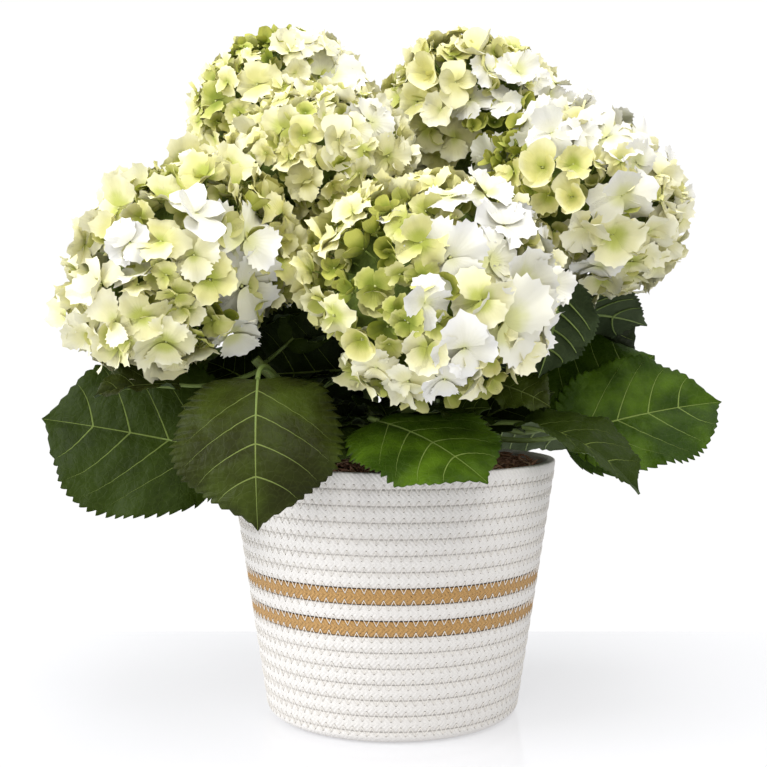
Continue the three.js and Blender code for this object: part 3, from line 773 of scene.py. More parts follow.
# %% Curves of the canes
def bezier(controls, t):
    """Points on a curve with three or four controls, at the shares t."""
    t = np.atleast_1d(np.asarray(t, float))[:, None]
    points = [np.asarray(c, float) for c in controls]
    while len(points) > 1:
        points = [a * (1 - t) + b * t for a, b in zip(points, points[1:])]
    return points[0]


def bezier_ahead(controls, t):
    """The direction in which such a curve runs."""
    points = [np.asarray(c, float) for c in controls]
    return unit(bezier([b - a for a, b in zip(points, points[1:])], t))


def cane_controls(head):
    """The controls of the curve that a cane follows up to its head."""
    foot = np.array([*head["foot"], SOIL_TOP + SOIL_DOME + GAP])
    end = head_centre(head) - (STEM_SHARE * head["reach"] + GAP) * head_axis(head)
    rise = end[2] - foot[2]
    upright = foot + (end - foot) * CANE_SPREAD
    upright[2] = foot[2] + CANE_UPRIGHT * rise
    return [foot, upright, end - CANE_INTO_HEAD * rise * head_axis(head), end]


CANES = {name: cane_controls(head) for name, head in HEADS.items()}
CANE_TOPS = {name: controls[-1][2] for name, controls in CANES.items()}


def cane_radius(t):
    """How thick a cane is, from its foot at 0 to its tip at 1."""
    return CANE_BASE_RADIUS + (CANE_TIP_RADIUS - CANE_BASE_RADIUS) * t


def risen_to(name, height):
    """How far along a cane it has risen to a height."""
    t = np.arange(0, 1.001, 0.002)
    high = bezier(CANES[name], t)[:, 2] >= height
    return float(t[np.argmax(high)]) if high.any() else 1.0

# %% Leaves by name and rule
# A leaf: its cane and the height at which it leaves it, its base and tip, the way its upper side looks,
# how far it arches, its width and how far it is folded, in mm and degrees.
CANE, HEIGHT, WIDTH, FOLD = 0, 1, 6, 7
PLACED_LEAVES = {
    "far_left": ("left", 172, (-94, -62, 164), (-211, -30, 182), (-0.1, -0.93, 0.35), 6, 96, 5),
    "front_left": ("left", 203, (-75, -86, 207), (-71, -126, 128), (0, -0.89, 0.45), 14, 94, -14),
    "front": ("front", 178, (-9, -70, 183), (49, -128, 154), (0.15, -0.55, 0.82), 6, 86, -5),
    "right": ("right", 176, (111, 0, 171), (213, 25, 190), (-0.1, -0.8, 0.6), 5, 86, 6),
    "behind_right": ("right", 196, (108, 36, 177), (178, 62, 220), (-0.1, -0.93, 0.35), 5, 94, -16),
    "low_right": ("right", 168, (76, -45, 180), (139, -76, 142), (0.25, -0.3, 0.92), 9, 66, 12),
    "beside_front": ("right", 262, (99, -40, 262), (85, -50, 206), (0.62, 0.75, 0.15), 4, 60, -8),
    "inner_left": ("upper_left", 192, (-28, -5, 211), (-94, 10, 207), (-0.1, -0.98, -0.1), 3, 82, 4),
    "under_front": ("front", 166, (-30, -50, 178), (-33, -101, 162), (-0.05, -0.4, 0.9), 5, 46, -6),
    "short_right": ("right", 186, (58, -32, 204), (92, -50, 190), (0.2, -0.75, 0.6), 3, 38, 10),
    "under_left": ("left", 212, (-122, -64, 203), (-168, -78, 197), (-0.2, -0.6, 0.75), 4, 32, 26),
    "between_tall": ("back_left", 296, (-26, 84, 320), (24, 130, 344), (-0.1, 0.2, 0.95), 5, 56, -8),
    "beside_tall": ("back_right", 298, (78, 76, 328), (128, 116, 348), (-0.1, 0.1, 0.95), 5, 52, -8),
}
# A leaf of the ring: its cane and height, its compass direction, how far out and how high its base and
# its tip are, its roll and its width.
RING_LEAVES = {
    "low_back_right": ("low_back_right", 168, 42, (100, 175), (186, 150), -20, 92),
    "hanging_back_right": ("low_back_right", 196, 74, (112, 200), (150, 122), 0, 90),
    "low_back": ("back_left", 168, 107, (100, 174), (198, 158), 20, 90),
    "hanging_back_left": ("low_back_left", 196, 142, (112, 200), (154, 124), 0, 90),
    "low_left": ("low_back_left", 168, 170, (100, 174), (200, 166), 38, 88),
    "upper_right": ("right", 226, 19, (98, 242), (182, 240), -30, 76),
    "upper_back_right": ("low_back_right", 222, 56, (96, 236), (176, 222), 12, 78),
    "upper_back": ("back_right", 236, 103, (88, 250), (168, 226), 0, 74),
    "upper_left": ("low_back_left", 206, 168, (92, 218), (176, 208), -12, 80),
}
RING_ARCH, RING_FOLD = 8, -6
FILL_SEED, FILL_TRIES, FILL_WIDTH, FILL_STALK_RISE, FILL_LEAST_STALK = 5, 400, 0.84, 12, 20
# The spans of a filling leaf's compass direction, start, level, length, drop and roll.
FILL = ((8, 196), (50, 96), (186, 330), (58, 88), (4, 52), (-28, 28))


def ring_leaf(cane, height, azimuth, start, end, roll, width):
    """A leaf that goes out from the axis in one compass direction, in the terms of a placed leaf."""
    out = np.array([math.cos(math.radians(azimuth)), math.sin(math.radians(azimuth)), 0])
    base, tip = (out * far + np.array([0, 0, z]) for far, z in (start, end))
    ahead = unit(tip - base)
    face = unit(np.array([0, 0, 1.0]) - ahead * ahead[2])
    turn = Matrix.Rotation(math.radians(roll), 3, Vector(ahead))
    return (cane, height, base, tip, np.array(turn @ Vector(face)), RING_ARCH, width, RING_FOLD)


DRAW_FACTOR, DRAW_SHIFT, DRAW_SPAN = 1664525, 1013904223, 2 ** 32


def seeded(seed):
    """A small repeatable random generator."""
    state = seed
    while True:
        state = (state * DRAW_FACTOR + DRAW_SHIFT) % DRAW_SPAN
        yield state / DRAW_SPAN


def fill_leaves():
    """Every filling leaf that the rule tries, in order."""
    draw = seeded(FILL_SEED)
    for _ in range(FILL_TRIES):
        picked = [low + (high - low) * next(draw) for low, high in FILL]
        azimuth, start, level, length, drop, roll = picked
        height, turn = level - FILL_STALK_RISE, math.radians(azimuth)
        base = np.array([start * math.cos(turn), start * math.sin(turn), level])
        best, cane = math.inf, None
        for name in HEADS:
            if CANE_TOPS[name] < level:
                continue
            far = np.linalg.norm(bezier(CANES[name], risen_to(name, height))[0] - base)
            if FILL_LEAST_STALK <= far < best:
                best, cane = far, name
        if cane:
            end = (start + math.sqrt(length ** 2 - drop ** 2), level - drop)
            yield ring_leaf(cane, height, azimuth, (start, level), end, roll, FILL_WIDTH * length)

# %% Where each leaf lies
LEAF_WIDEST, DRAWN_FROM, DRAWN_IN = 0.4, 0.72, 0.7
STALK_ELBOW, STALK_SUNK = 0.45, 0.6


def blade_width(u):
    """A blade's width along it as a share of its widest: round at the base, pointed at the tip."""
    oval = u ** 0.5 * (1 - u) ** 0.7 / (LEAF_WIDEST ** 0.5 * (1 - LEAF_WIDEST) ** 0.7)
    return oval * (1 - DRAWN_IN * np.clip(u - DRAWN_FROM, 0, None) / (1 - DRAWN_FROM))


def leaf_lines(leaf):
    """The controls of a leaf's stalk and of its blade's midrib, and the way its upper side looks."""
    cane, height, base, tip, face, arch = leaf[:WIDTH]
    base, tip, face = np.array(base, float), np.array(tip, float), unit(face)
    middle = (base + tip) / 2 + face * 2 * arch
    blade = [base, middle, tip]
    t = risen_to(cane, height)
    centre = bezier(CANES[cane], t)[0]
    reach = np.linalg.norm(base - centre)
    elbow = base - bezier_ahead(blade, 0)[0] * STALK_ELBOW * reach
    root = centre + unit(elbow - centre) * (cane_radius(t) - STALK_SUNK)
    return [root, elbow, base], blade, face


def leaf_box(leaf):
    """The rough box of a leaf, to tell which tries of the rule became leaves."""
    stalk, blade, face = leaf_lines(leaf)
    u = np.linspace(0, 0.985, 12)
    middle = bezier(blade, u)
    side = unit(np.cross(face, bezier_ahead(blade, u)))
    half = 0.5 * leaf[WIDTH] * blade_width(u)[:, None]
    points = np.concatenate([middle, middle + side * half, middle - side * half, bezier(stalk, [0, 0.5])])
    return np.concatenate([points.min(0), points.max(0)])


LEAVES = dict(PLACED_LEAVES)
LEAVES.update({name: ring_leaf(*values) for name, values in RING_LEAVES.items()})
filling = list(fill_leaves())
filling_boxes = np.array([leaf_box(leaf) for leaf in filling])
for node in sorted(n for n in frame["nodes"] if n.startswith("leaf_fill_")):
    corners = np.array([[*corner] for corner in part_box(node)]).ravel() / MM
    miss = np.abs(filling_boxes - corners).max(axis=1)
    best = int(miss.argmin())
    LEAVES[node.removeprefix("leaf_")] = filling[best]
    print(node, "matches try", best, "within mm", round(float(miss[best]), 1))

# %% Canes
cane_bark, tree, shader = new_material("cane_bark", Roughness=0.55)
where = object_place(tree)
drawn_out = add_node(tree, "ShaderNodeMapping", {"Vector": where, "Scale": (1, 1, 0.15)}).outputs[0]
streaks = noise(tree, drawn_out, 700.0)
spots = add_node(tree, "ShaderNodeTexVoronoi", {"Vector": where, "Scale": 420.0}).outputs["Distance"]
dots = clear_ramp(tree, spots, 0.22, 0.1)
green = blend(tree, streaks, srgb(92, 112, 52), srgb(142, 158, 84))
feed(tree, shader.inputs["Base Color"], blend(tree, dots, green, srgb(104, 74, 54)))
feed(tree, shader.inputs["Normal"], bump(tree, dots, 0.0003))
CANE_STEPS, CANE_SUNK = 61, 2.0
KNOT, KNOT_SHORTNESS = 0.7, 55
cane_paths, cane_radii = [], []
for name, controls in CANES.items():
    t = np.linspace(0, 1, CANE_STEPS)
    line = bezier(controls, t)
    line[0, 2] -= CANE_SUNK
    swell = np.zeros_like(t)
    for leaf in LEAVES.values():
        if leaf[CANE] == name:
            swell += np.exp(-(((t - risen_to(name, leaf[HEIGHT])) * KNOT_SHORTNESS) ** 2))
    cane_paths.append(line)
    cane_radii.append(cane_radius(t) + KNOT * swell.clip(0, 1))
canes = bars("canes", cane_paths, cane_radii, 12, cane_bark)
settle(canes, "stem", *[n for n in frame["nodes"] if n.startswith("cane_")])

# %% [markdown]
# ## Leaves
# A hydrangea leaf is a broad toothed oval on a stout stalk, quilted between curved veins, glossy
# above and matt grey-green beneath. Each blade is lofted along its midrib: rows of points run from
# margin to margin over the top and back underneath, so that the leaf is closed and each side has
# its own finish. The teeth, the quilting and a slow wave of the margin are in the mesh. The pale
# veins are drawn by the material from each point's own place in the leaf, and beneath the leaf the
# midrib and the side veins stand out as round bars.

# %% Veins and leaf finishes
VEIN_PAIRS, VEIN_SWEEP, VEIN_CURVE = 5.0, 0.46, 1.08


def vein_group():
    """Veins as a node group: masks of the midrib, the side veins and the small net between them."""
    group, given, out = new_group("leaf_veins", "ShaderNodeTree", {"Vein Width": "Float"},
                                  {"Veins": "Float", "Net": "Float", "Height": "Float"})
    place = add_node(group, "ShaderNodeAttribute", attribute_name="leaf_place").outputs["Vector"]
    along, across, gap = add_node(group, "ShaderNodeSeparateXYZ", {0: place}).outputs
    bend = maths(group, "MULTIPLY", maths(group, "POWER", across, VEIN_CURVE), VEIN_SWEEP)
    beyond = maths(group, "SUBTRACT", along, bend)
    t = maths(group, "DIVIDE", beyond, maths(group, "SUBTRACT", 1.0, bend))
    step = maths(group, "MULTIPLY", t, VEIN_PAIRS)
    off = maths(group, "ABSOLUTE", maths(group, "SUBTRACT", maths(group, "FRACT", step), 0.5))
    thin = maths(group, "MULTIPLY", given["Vein Width"], maths(group, "SUBTRACT", 1.1, across))
    side_vein = clear_ramp(group, off, maths(group, "MULTIPLY", thin, 2.0), thin)
    for place, gone, full in ((across, 1.0, 0.8), (t, -0.02, 0.02), (t, 0.86, 0.8)):
        side_vein = maths(group, "MULTIPLY", side_vein, clear_ramp(group, place, gone, full))
    width = maths(group, "MULTIPLY", maths(group, "SUBTRACT", 1.2, along), 0.0007)
    outer_edge, inner_edge = (maths(group, "MULTIPLY", width, share) for share in (1.35, 0.7))
    midrib = clear_ramp(group, gap, outer_edge, inner_edge)
    veins = maths(group, "MAXIMUM", side_vein, midrib)
    feed(group, out["Veins"], veins)
    cells = add_node(group, "ShaderNodeTexVoronoi", {"Vector": object_place(group), "Scale": 230.0},
                     feature="DISTANCE_TO_EDGE").outputs["Distance"]
    net = clear_ramp(group, cells, 0.09, 0.0)
    feed(group, out["Net"], net)
    fine = noise(group, object_place(group), 500.0, 2.0)
    puffy = noise(group, object_place(group), 110.0, 2.0)
    height = maths(group, "MULTIPLY_ADD", puffy, 3.0, maths(group, "MULTIPLY", fine, 0.3))
    height = maths(group, "MULTIPLY_ADD", net, -0.15, height)
    feed(group, out["Height"], maths(group, "MULTIPLY_ADD", veins, -1.2, height))
    return group


VEINS = vein_group()


def leaf_material(name, deep, light, vein, gloss, roughness=0.42, vein_width=0.018):
    """One side of a leaf, mottled between two greens and drawn over with paler veins."""
    material, tree, shader = new_material(name, Roughness=roughness, Specular_IOR_Level=gloss)
    deep, light, vein = (srgb(*colour) for colour in (deep, light, vein))
    lines = add_node(tree, "ShaderNodeGroup", {"Vein Width": vein_width}, node_tree=VEINS)
    tone = add_node(tree, "ShaderNodeAttribute", attribute_name="tone").outputs["Fac"]
    mottled = noise(tree, object_place(tree), 38.0, 4.0)
    mixed = clear_ramp(tree, maths(tree, "ADD", maths(tree, "MULTIPLY", tone, 0.6), mottled), 0.45, 1.05)
    blade = blend(tree, mixed, deep, light)
    for label, strength in (("Net", 0.035), ("Veins", 0.75)):
        blade = blend(tree, maths(tree, "MULTIPLY", lines.outputs[label], strength), blade, vein)
    feed(tree, shader.inputs["Base Color"], blade)
    feed(tree, shader.inputs["Normal"], bump(tree, lines.outputs["Height"], 0.0006))
    return material


LEAF_TINTS = {
    "deep": leaf_material("leaf_deep_green", (19, 27, 6), (44, 58, 13), (116, 132, 66), 0.06),
    "fresh": leaf_material("leaf_fresh_green", (42, 63, 9), (90, 120, 25), (140, 160, 84), 0.07),
    "bronze": leaf_material("leaf_bronze_green", (38, 42, 11), (66, 80, 22), (128, 142, 76), 0.09),
}
leaf_under = leaf_material("leaf_underside", (54, 66, 42), (82, 94, 66), (124, 136, 100), 0.1,
                           roughness=0.8, vein_width=0.03)

# %% Leaf blades
TOOTH_STEPS, TOOTH_MIDDLE = 4, 0.62
TEETH, YOUNG_TEETH = 24, 9
BLADE_WIDEST, BLADE_MIDDLE, SHOULDER_IN, POINT_SHARE = 0.4545, 0.545, 0.64, 0.13
TOOTH_SHAPE = np.array([0.0, 0.45, 0.85, 1.0])
TOOTH_AT = np.array([0.0, 0.35, 0.7, 0.93])
TOOTH_CUT = 0.034
MARGIN = np.array([0.0, 0.06, 0.16, 0.3, 0.46, 0.62, 0.76, 0.88, 0.95, 1.0])
YOUNG_MARGIN = np.array([0.0, 0.12, 0.4, 0.7, 0.93, 1.0])
PUCKER, WAVE, SHEET, SHEET_EDGE = 1.0, 1.9, 0.35, 0.06
RIB_SINK, RIB_SINK_REACH = 0.9, 2.5
WAVES_ALONG, RIPPLES_ALONG = 2.6, 5.3
TWIST = 0.7
LOBE, LOBES = 0.3, {"front_left": 0.8, "right": 0.5, "behind_right": 0.5}
FULLER = {"behind_right": 1.28, "far_left": 1.06}


def full_width(u):
    """The blade's outline with rounder shoulders, drawn in smoothly towards the tip."""
    oval = u ** 0.5 * (1 - u) ** 0.6 / (BLADE_WIDEST ** 0.5 * (1 - BLADE_WIDEST) ** 0.6)
    pointed = np.clip((1 - u) / POINT_SHARE, 0, 1) ** 0.6
    return oval * (1 - SHOULDER_IN * np.clip(2 * u - 1, 0, 1) ** 2) * pointed


def blade_rows(count, rng):
    """How far along the blade each row lies, and the uneven teeth of its two margins."""
    places = (np.arange(count)[:, None] + TOOTH_AT[None]).ravel() / count
    u = np.concatenate([places, [1.0]]) * 0.995
    teeth = np.tile(TOOTH_SHAPE, count)
    uneven = np.repeat(rng.uniform(0.5, 1.4, (2, count)), TOOTH_STEPS, axis=1)
    left, right = (np.append(TOOTH_MIDDLE + (teeth - TOOTH_MIDDLE) * side, 1.0) for side in uneven)
    return u, left, right


def carried_sides(blade, face, u):
    """The sideways direction at each station, carried from the blade's middle to both ends."""
    ahead = bezier_ahead(blade, u)
    side = np.zeros_like(ahead)
    middle = int(np.argmin(np.abs(u - BLADE_MIDDLE)))
    side[middle] = unit(np.cross(face, ahead[middle]))
    for steps in (range(middle, 0, -1), range(middle, len(u) - 1)):
        for i in steps:
            j = i - 1 if steps.step == -1 else i + 1
            side[j] = unit(side[i] - ahead[j] * (side[i] @ ahead[j]))
    return ahead, side, np.cross(ahead, side)


def blade_surface(name, leaf, u, across, cut_left, cut_right):
    """The middle surface of a blade, with each point's place in the leaf: along, across, off the rib."""
    _, blade, face = leaf_lines(leaf)
    width, fold = leaf[WIDTH], math.radians(leaf[FOLD])
    rng = np.random.default_rng(sum(map(ord, name)))
    ahead, side, up = carried_sides(blade, face, u)
    row = u[:, None]
    sign, share = np.sign(across)[None, :], np.abs(across)[None, :]
    tooth = np.where(sign < 0, cut_left[:, None], cut_right[:, None])
    half = 0.5 * width * FULLER.get(name, 1.0) * full_width(row)
    cut = TOOTH_CUT * width * (tooth - TOOTH_MIDDLE) * np.clip(half / (0.1 * width), 0, 1)
    toothed = share * half + cut * share ** 8
    sweep = half * share ** 1.8 * (0.5 * row * (1 - row) - LOBES.get(name, LOBE) * (1 - row) ** 3)
    bend = VEIN_SWEEP * share ** VEIN_CURVE
    t = (row - bend) / (1 - bend)
    quilt = np.abs(np.sin(math.pi * (VEIN_PAIRS * t + 0.5))) ** 0.6
    grow_in = np.clip(share * 5, 0, 1) * np.clip(half / (0.25 * width), 0, 1)
    lift = half * math.sin(fold) * share ** 1.25
    lift = lift + PUCKER * quilt * grow_in * (1 - share ** 4)
    lift = lift - RIB_SINK * np.exp(-((share * half / RIB_SINK_REACH) ** 2))
    phases = rng.uniform(0, 2 * math.pi, 6)
    ripple = np.sin(2 * math.pi * WAVES_ALONG * row + phases[0] + sign * phases[1])
    ripple = ripple + 0.5 * np.sin(2 * math.pi * RIPPLES_ALONG * row + phases[2] + sign * phases[3])
    lift = lift + WAVE * ripple * share ** 3 * np.clip(half / (0.3 * width), 0, 1)
    lift = lift + TWIST * np.sin(9 * row + 4 * across[None, :] + phases[4]) * share
    centre = bezier(blade, u)
    points = (centre[:, None] + side[:, None] * (sign * toothed * math.cos(fold))[..., None]
              + ahead[:, None] * sweep[..., None] + up[:, None] * lift[..., None])
    place = np.stack([np.repeat(row, len(across), 1), np.repeat(share, len(u), 0),
                      share * half * MM], -1)
    return points, place, up

# %% Lay blades as pieces
def leaf_blade(name, leaf):
    """One blade: its points, faces, which faces lie on top, each point's place, and its rows of points."""
    count, margin = (YOUNG_TEETH, YOUNG_MARGIN) if name.startswith("young") else (TEETH, MARGIN)
    u, left, right = blade_rows(count, np.random.default_rng(len(name) + int(leaf[HEIGHT])))
    across = np.concatenate([-margin[::-1], margin[1:]])
    points, place, up = blade_surface(name, leaf, u, across, left, right)
    thick = SHEET * (1 - np.abs(across) ** 6)[None, :, None] + SHEET_EDGE
    top = points + up[:, None] * thick
    under = (points - up[:, None] * thick)[:, ::-1]
    rows = np.concatenate([top, under], axis=1)
    places = np.concatenate([place, place[:, ::-1]], axis=1)
    ring = rows.shape[1]
    faces = grid_faces(len(u), ring, closed_rows=True)
    on_top = np.tile(np.arange(ring) < len(across) - 1, len(u) - 1)
    return rows.reshape(-1, 3), faces, on_top, places.reshape(-1, 3), ring, len(u)


def lay_leaves(piece_name, names, finish):
    """Blades of one finish, joined into one piece, with their ends closed."""
    points, faces, slots, places, tones, start = [], [], [], [], [], 0
    for name in names:
        p, f, top, place, ring, rows = leaf_blade(name, LEAVES[name])
        i = np.arange(ring // 2 - 1)
        cap = np.stack([i, i + 1, ring - 2 - i, ring - 1 - i], -1)
        caps = np.concatenate([cap[:, ::-1], cap + (rows - 1) * ring])
        points.append(p)
        faces += [f + start, caps + start]
        slots += [np.where(top, 0, 1), np.zeros(len(caps), int)]
        places.append(place)
        rng = np.random.default_rng(len(name) * 7 + 1)
        tones.append(np.full(len(p), rng.uniform(0, 1)))
        start += len(p)
    points = np.concatenate(points)
    piece = make_object(piece_name, points, np.concatenate(faces)[:, ::-1], [finish, leaf_under],
                        np.concatenate(slots))
    store(piece.data, "leaf_place", "FLOAT_VECTOR", np.concatenate(places))
    store(piece.data, "tone", "FLOAT", np.concatenate(tones))
    settle(piece, "leaf", *["leaf_" + name for name in names if not name.startswith("young")])
    return points

# %% Young leaves and the finish of each leaf
FRESH = ["right", "front", "behind_right", "hanging_back_left", "upper_back", "low_back_right", "fill_2",
         "fill_5", "fill_8", "beside_tall", "upper_left"]
BRONZE = ["front_left", "under_left", "short_right", "fill_1", "fill_6"]
YOUNG_FROM, YOUNG_TO, YOUNG_STEP, YOUNG_BELOW_HEAD = 172, 262, 19, 10
YOUNG_LENGTH, YOUNG_WIDTH, YOUNG_STALK, YOUNG_REACH = 44, 0.74, 9, 132
YOUNG_ARCH, YOUNG_FOLD = 4, 8


def young_leaves():
    """Pairs of small leaves up each cane; each pair is turned a quarter from the pair below."""
    found = {}
    for number, (cane, controls) in enumerate(CANES.items()):
        height, turn = YOUNG_FROM + 5 * (number % 3), 40 + 50 * number
        while height < min(CANE_TOPS[cane] - YOUNG_BELOW_HEAD, YOUNG_TO):
            centre = bezier(controls, risen_to(cane, height))[0]
            for side in (0, 180):
                angle = math.radians(turn + side)
                out = np.array([math.cos(angle), math.sin(angle), 0.25 * math.cos(3 * angle)])
                base = centre + (CANE_BASE_RADIUS + YOUNG_STALK) * out
                tip = base + YOUNG_LENGTH * unit(out)
                if np.hypot(*tip[:2]) < YOUNG_REACH:
                    face = unit(np.array([0, 0, 1.0]) - 0.4 * np.array([*out[:2], 0]))
                    name = f"young_{cane}_{int(height)}_{side}"
                    found[name] = (cane, height - 3, base, tip, face, YOUNG_ARCH,
                                   YOUNG_WIDTH * YOUNG_LENGTH, YOUNG_FOLD)
            height, turn = height + YOUNG_STEP, turn + 90
    return found


YOUNG_PLACED = {
    "young_by_left_head": ("left", 196, (-80, -26, 200), (-114, -8, 216), (0.1, -0.9, 0.4), 4, 42, 8),
    "young_under_front_head": ("right", 172, (52, -20, 180), (98, -24, 198), (0.1, -0.8, 0.6), 4, 38, 8),
    "young_behind_right": ("right", 200, (114, 70, 219), (170, 82, 243), (-0.1, -0.95, 0.2), 4, 52, 6),
    "young_between_heads": ("left", 214, (-66, -6, 226), (-30, 8, 258), (0, -0.95, 0.2), 3, 34, 6),
    "young_above_rim": ("front", 176, (22, -34, 182), (56, -62, 190), (0.1, -0.75, 0.65), 4, 34, 8),
}
LEAVES.update(YOUNG_PLACED)
LEAVES.update(young_leaves())
print("leaves with the young ones:", len(LEAVES))
YOUNG = [name for name in LEAVES if name.startswith("young")]
by_kind = {"fresh": FRESH, "bronze": BRONZE, "young": YOUNG,
           "deep": [name for name in LEAVES if name not in FRESH + BRONZE + YOUNG]}
# The young leaves, which fill the inside of the plant, take the deep green finish: painted shade for the dark
# inside.
blade_points = [lay_leaves("leaves_" + kind, names, LEAF_TINTS["deep" if kind == "young" else kind])
                for kind, names in by_kind.items()]

# %% Stalks and ribs
rib_green = mottled_material("leaf_rib", (92, 114, 50), (140, 160, 88), 60.0, Roughness=0.5)
STALK_STEPS, RIB_STEPS, VEIN_STEPS = 12, 22, 9
STOUT_WIDTH = 70  # leaves as wide as this have full stalks and ribs
paths, radii = [], []
for name, leaf in LEAVES.items():
    stalk = leaf_lines(leaf)[0]
    t = np.linspace(0, 1, STALK_STEPS)
    slim = min(1.0, leaf[WIDTH] / STOUT_WIDTH)
    paths.append(bezier(stalk, t))
    radii.append((2.1 - 0.6 * t) * (0.6 + 0.4 * slim))
    u = np.linspace(0, 0.97, RIB_STEPS)
    smooth = np.full(RIB_STEPS, TOOTH_MIDDLE)
    middle, _, up = blade_surface(name, leaf, u, np.array([0.0, 0.001]), smooth, smooth)
    thick = (1.5 * (1 - u) ** 0.8 + 0.25) * (0.6 + 0.4 * slim)
    paths.append(middle[:, 0] - up * (thick * 0.55)[:, None])
    radii.append(thick)
    for pair in range(int(VEIN_PAIRS) - 1):
        start = (pair + 0.5) / VEIN_PAIRS
        for sign in (-1, 1):
            share = np.linspace(0.0, 0.86, VEIN_STEPS)
            bend = VEIN_SWEEP * share ** VEIN_CURVE
            along = np.append(start * (1 - bend) + bend, 1.0)
            smooth = np.full(len(along), TOOTH_MIDDLE)
            grid, _, lifts = blade_surface(name, leaf, along, sign * share, smooth, smooth)
            line = grid[np.arange(VEIN_STEPS), np.arange(VEIN_STEPS)]
            width = (0.65 * (1 - share) + 0.2) * slim
            paths.append(line - lifts[:VEIN_STEPS] * (width * 0.5 + 0.25)[:, None])
            radii.append(width)
ribs = bars("leaf_stalks_and_ribs", paths, radii, 5, rib_green)
settle(ribs, "leaf")

# %% [markdown]
# ## Flower heads
# A mophead is a dome of sterile florets, each of four broad sepals round a small eye. They sit on
# green stalklets that fan out from the top of the cane. The florets that face the front are listed one
# by one. Golden-angle seats spread the others evenly: the large white ones are seated first, and each
# one after them is kept only if it has room. Small ones deeper in close the gaps. A tree sets the
# shapes on the seats, and the tints are dealt out by where a seat looks.

# %% Floret shapes
FLORET_KINDS = {
    "fringed": dict(rows=9, columns=8, width=0.62, fan=0.5, fringe=0.14, ruffle=0.1,
                    bowl=(-0.2, 0.5), curl=(-0.6, 0.3)),
    "rounded": dict(rows=6, columns=6, width=0.63, fan=0.35, fringe=0.12, ruffle=0.11,
                    bowl=(-0.1, 0.7), curl=(-0.6, 0.5)),
    "cupped": dict(rows=3, columns=3, width=0.58, fan=0.2, fringe=0.0, ruffle=0.07,
                   bowl=(0.3, 1.0), curl=(0.0, 1.0)),
}
SHAPES_EACH = 8

# %% A sepal and a floret
SEPAL_START, SEPAL_LAP = 0.04, 0.07
CREASE, CREASE_WIDTH, SWAY = 0.04, 0.09, 0.05


def sepal(rows, columns, width, fan, fringe, ruffle, bowl, curl, rng):
    """One sepal along +X from the eye: a rounded patch, bowled, waved and fringed."""
    a, b = np.meshgrid(np.linspace(-1, 1, rows + 1), np.linspace(-1, 1, columns + 1), indexing="ij")
    x, y = a * np.sqrt(1 - b * b / 2), b * np.sqrt(1 - a * a / 2)
    step = (np.arange(rows + 1)[:, None] + np.arange(columns + 1)[None, :]) % 2
    edge = np.maximum(np.abs(a), np.abs(b)) ** 12
    tooth = 1 + fringe * edge * (step - 0.5) * (x > -0.5)
    waves = rng.uniform(0, 2 * math.pi, 3)
    x = (x * tooth * (1 + 0.07 * np.sin(3 * y + waves[0])) + 1) / 2
    y = y * tooth * width * rng.uniform(0.86, 1.12) * (1 + fan * (x - 0.5))
    far = np.hypot(x, y)
    z = rng.uniform(*curl) * x ** 2 + rng.uniform(*bowl) * y ** 2
    z = z + ruffle * far ** 2 * np.sin(8 * np.arctan2(y, x + 0.15) + waves[1])
    z = z - CREASE * np.exp(-((y / CREASE_WIDTH) ** 2)) * x + SWAY * np.sin(5 * x + waves[2]) * y
    points = np.stack([x + SEPAL_START, y, z], -1).reshape(-1, 3)
    return points, grid_faces(rows + 1, columns + 1)[:, ::-1], far.ravel()


def floret(kind, seed):
    """A floret of unit radius: four sepals, two above two, as points, faces and places."""
    rng = np.random.default_rng(seed)
    points, faces, places, start = [], [], [], 0
    for quarter in range(4):
        patch, quads, far = sepal(**FLORET_KINDS[kind], rng=rng)
        turn = Matrix.Rotation(quarter * math.pi / 2 + rng.uniform(-0.2, 0.2), 3, "Z")
        tip = Matrix.Rotation(rng.uniform(-0.6, 0.35), 3, "Y")
        roll = Matrix.Rotation(rng.uniform(-0.35, 0.35), 3, "X")
        patch = patch * rng.uniform(0.76, 1.0) @ np.array(turn @ tip @ roll).T
        patch[:, 2] += SEPAL_LAP * (quarter % 2)
        points.append(patch)
        faces.append(quads + start)
        places.append(np.stack([far, np.arctan2(patch[:, 1], patch[:, 0]), np.full(len(far), quarter)], -1))
        start += len(patch)
    return np.concatenate(points), np.concatenate(faces), np.concatenate(places)


FLORET_BOX = shape_box("floret", [floret(kind, 10 * k + s) for k, kind in enumerate(FLORET_KINDS)
                                  for s in range(SHAPES_EACH)])

# %% Petal finishes
def petal_group():
    """Petal colour as a node group: green at the eye, clear in the middle, faint veins and mottling."""
    group, given, out = new_group("petal_colour", "ShaderNodeTree",
                                  {"Eye": "Color", "Middle": "Color", "Margin": "Color"},
                                  {"Color": "Color", "Height": "Float"})
    place = add_node(group, "ShaderNodeAttribute", attribute_name="petal_place").outputs["Vector"]
    far, angle, _ = add_node(group, "ShaderNodeSeparateXYZ", {0: place}).outputs
    tone = add_node(group, "ShaderNodeAttribute", attribute_name="tone").outputs["Fac"]
    mottled = noise(group, object_place(group), 90.0)
    shifted = far
    for uneven in (tone, mottled):
        off = maths(group, "SUBTRACT", uneven, 0.5)
        shifted = maths(group, "ADD", shifted, maths(group, "MULTIPLY", off, 0.5))
    colour = blend(group, clear_ramp(group, shifted, 0.02, 0.5), given["Eye"], given["Middle"])
    colour = blend(group, clear_ramp(group, shifted, 0.5, 1.0), colour, given["Margin"])
    feed(group, out["Color"], colour)
    rays = maths(group, "SINE", maths(group, "MULTIPLY", angle, 30.0))
    feed(group, out["Height"], maths(group, "MULTIPLY_ADD", rays, 0.25, mottled))
    return group


PETAL = petal_group()


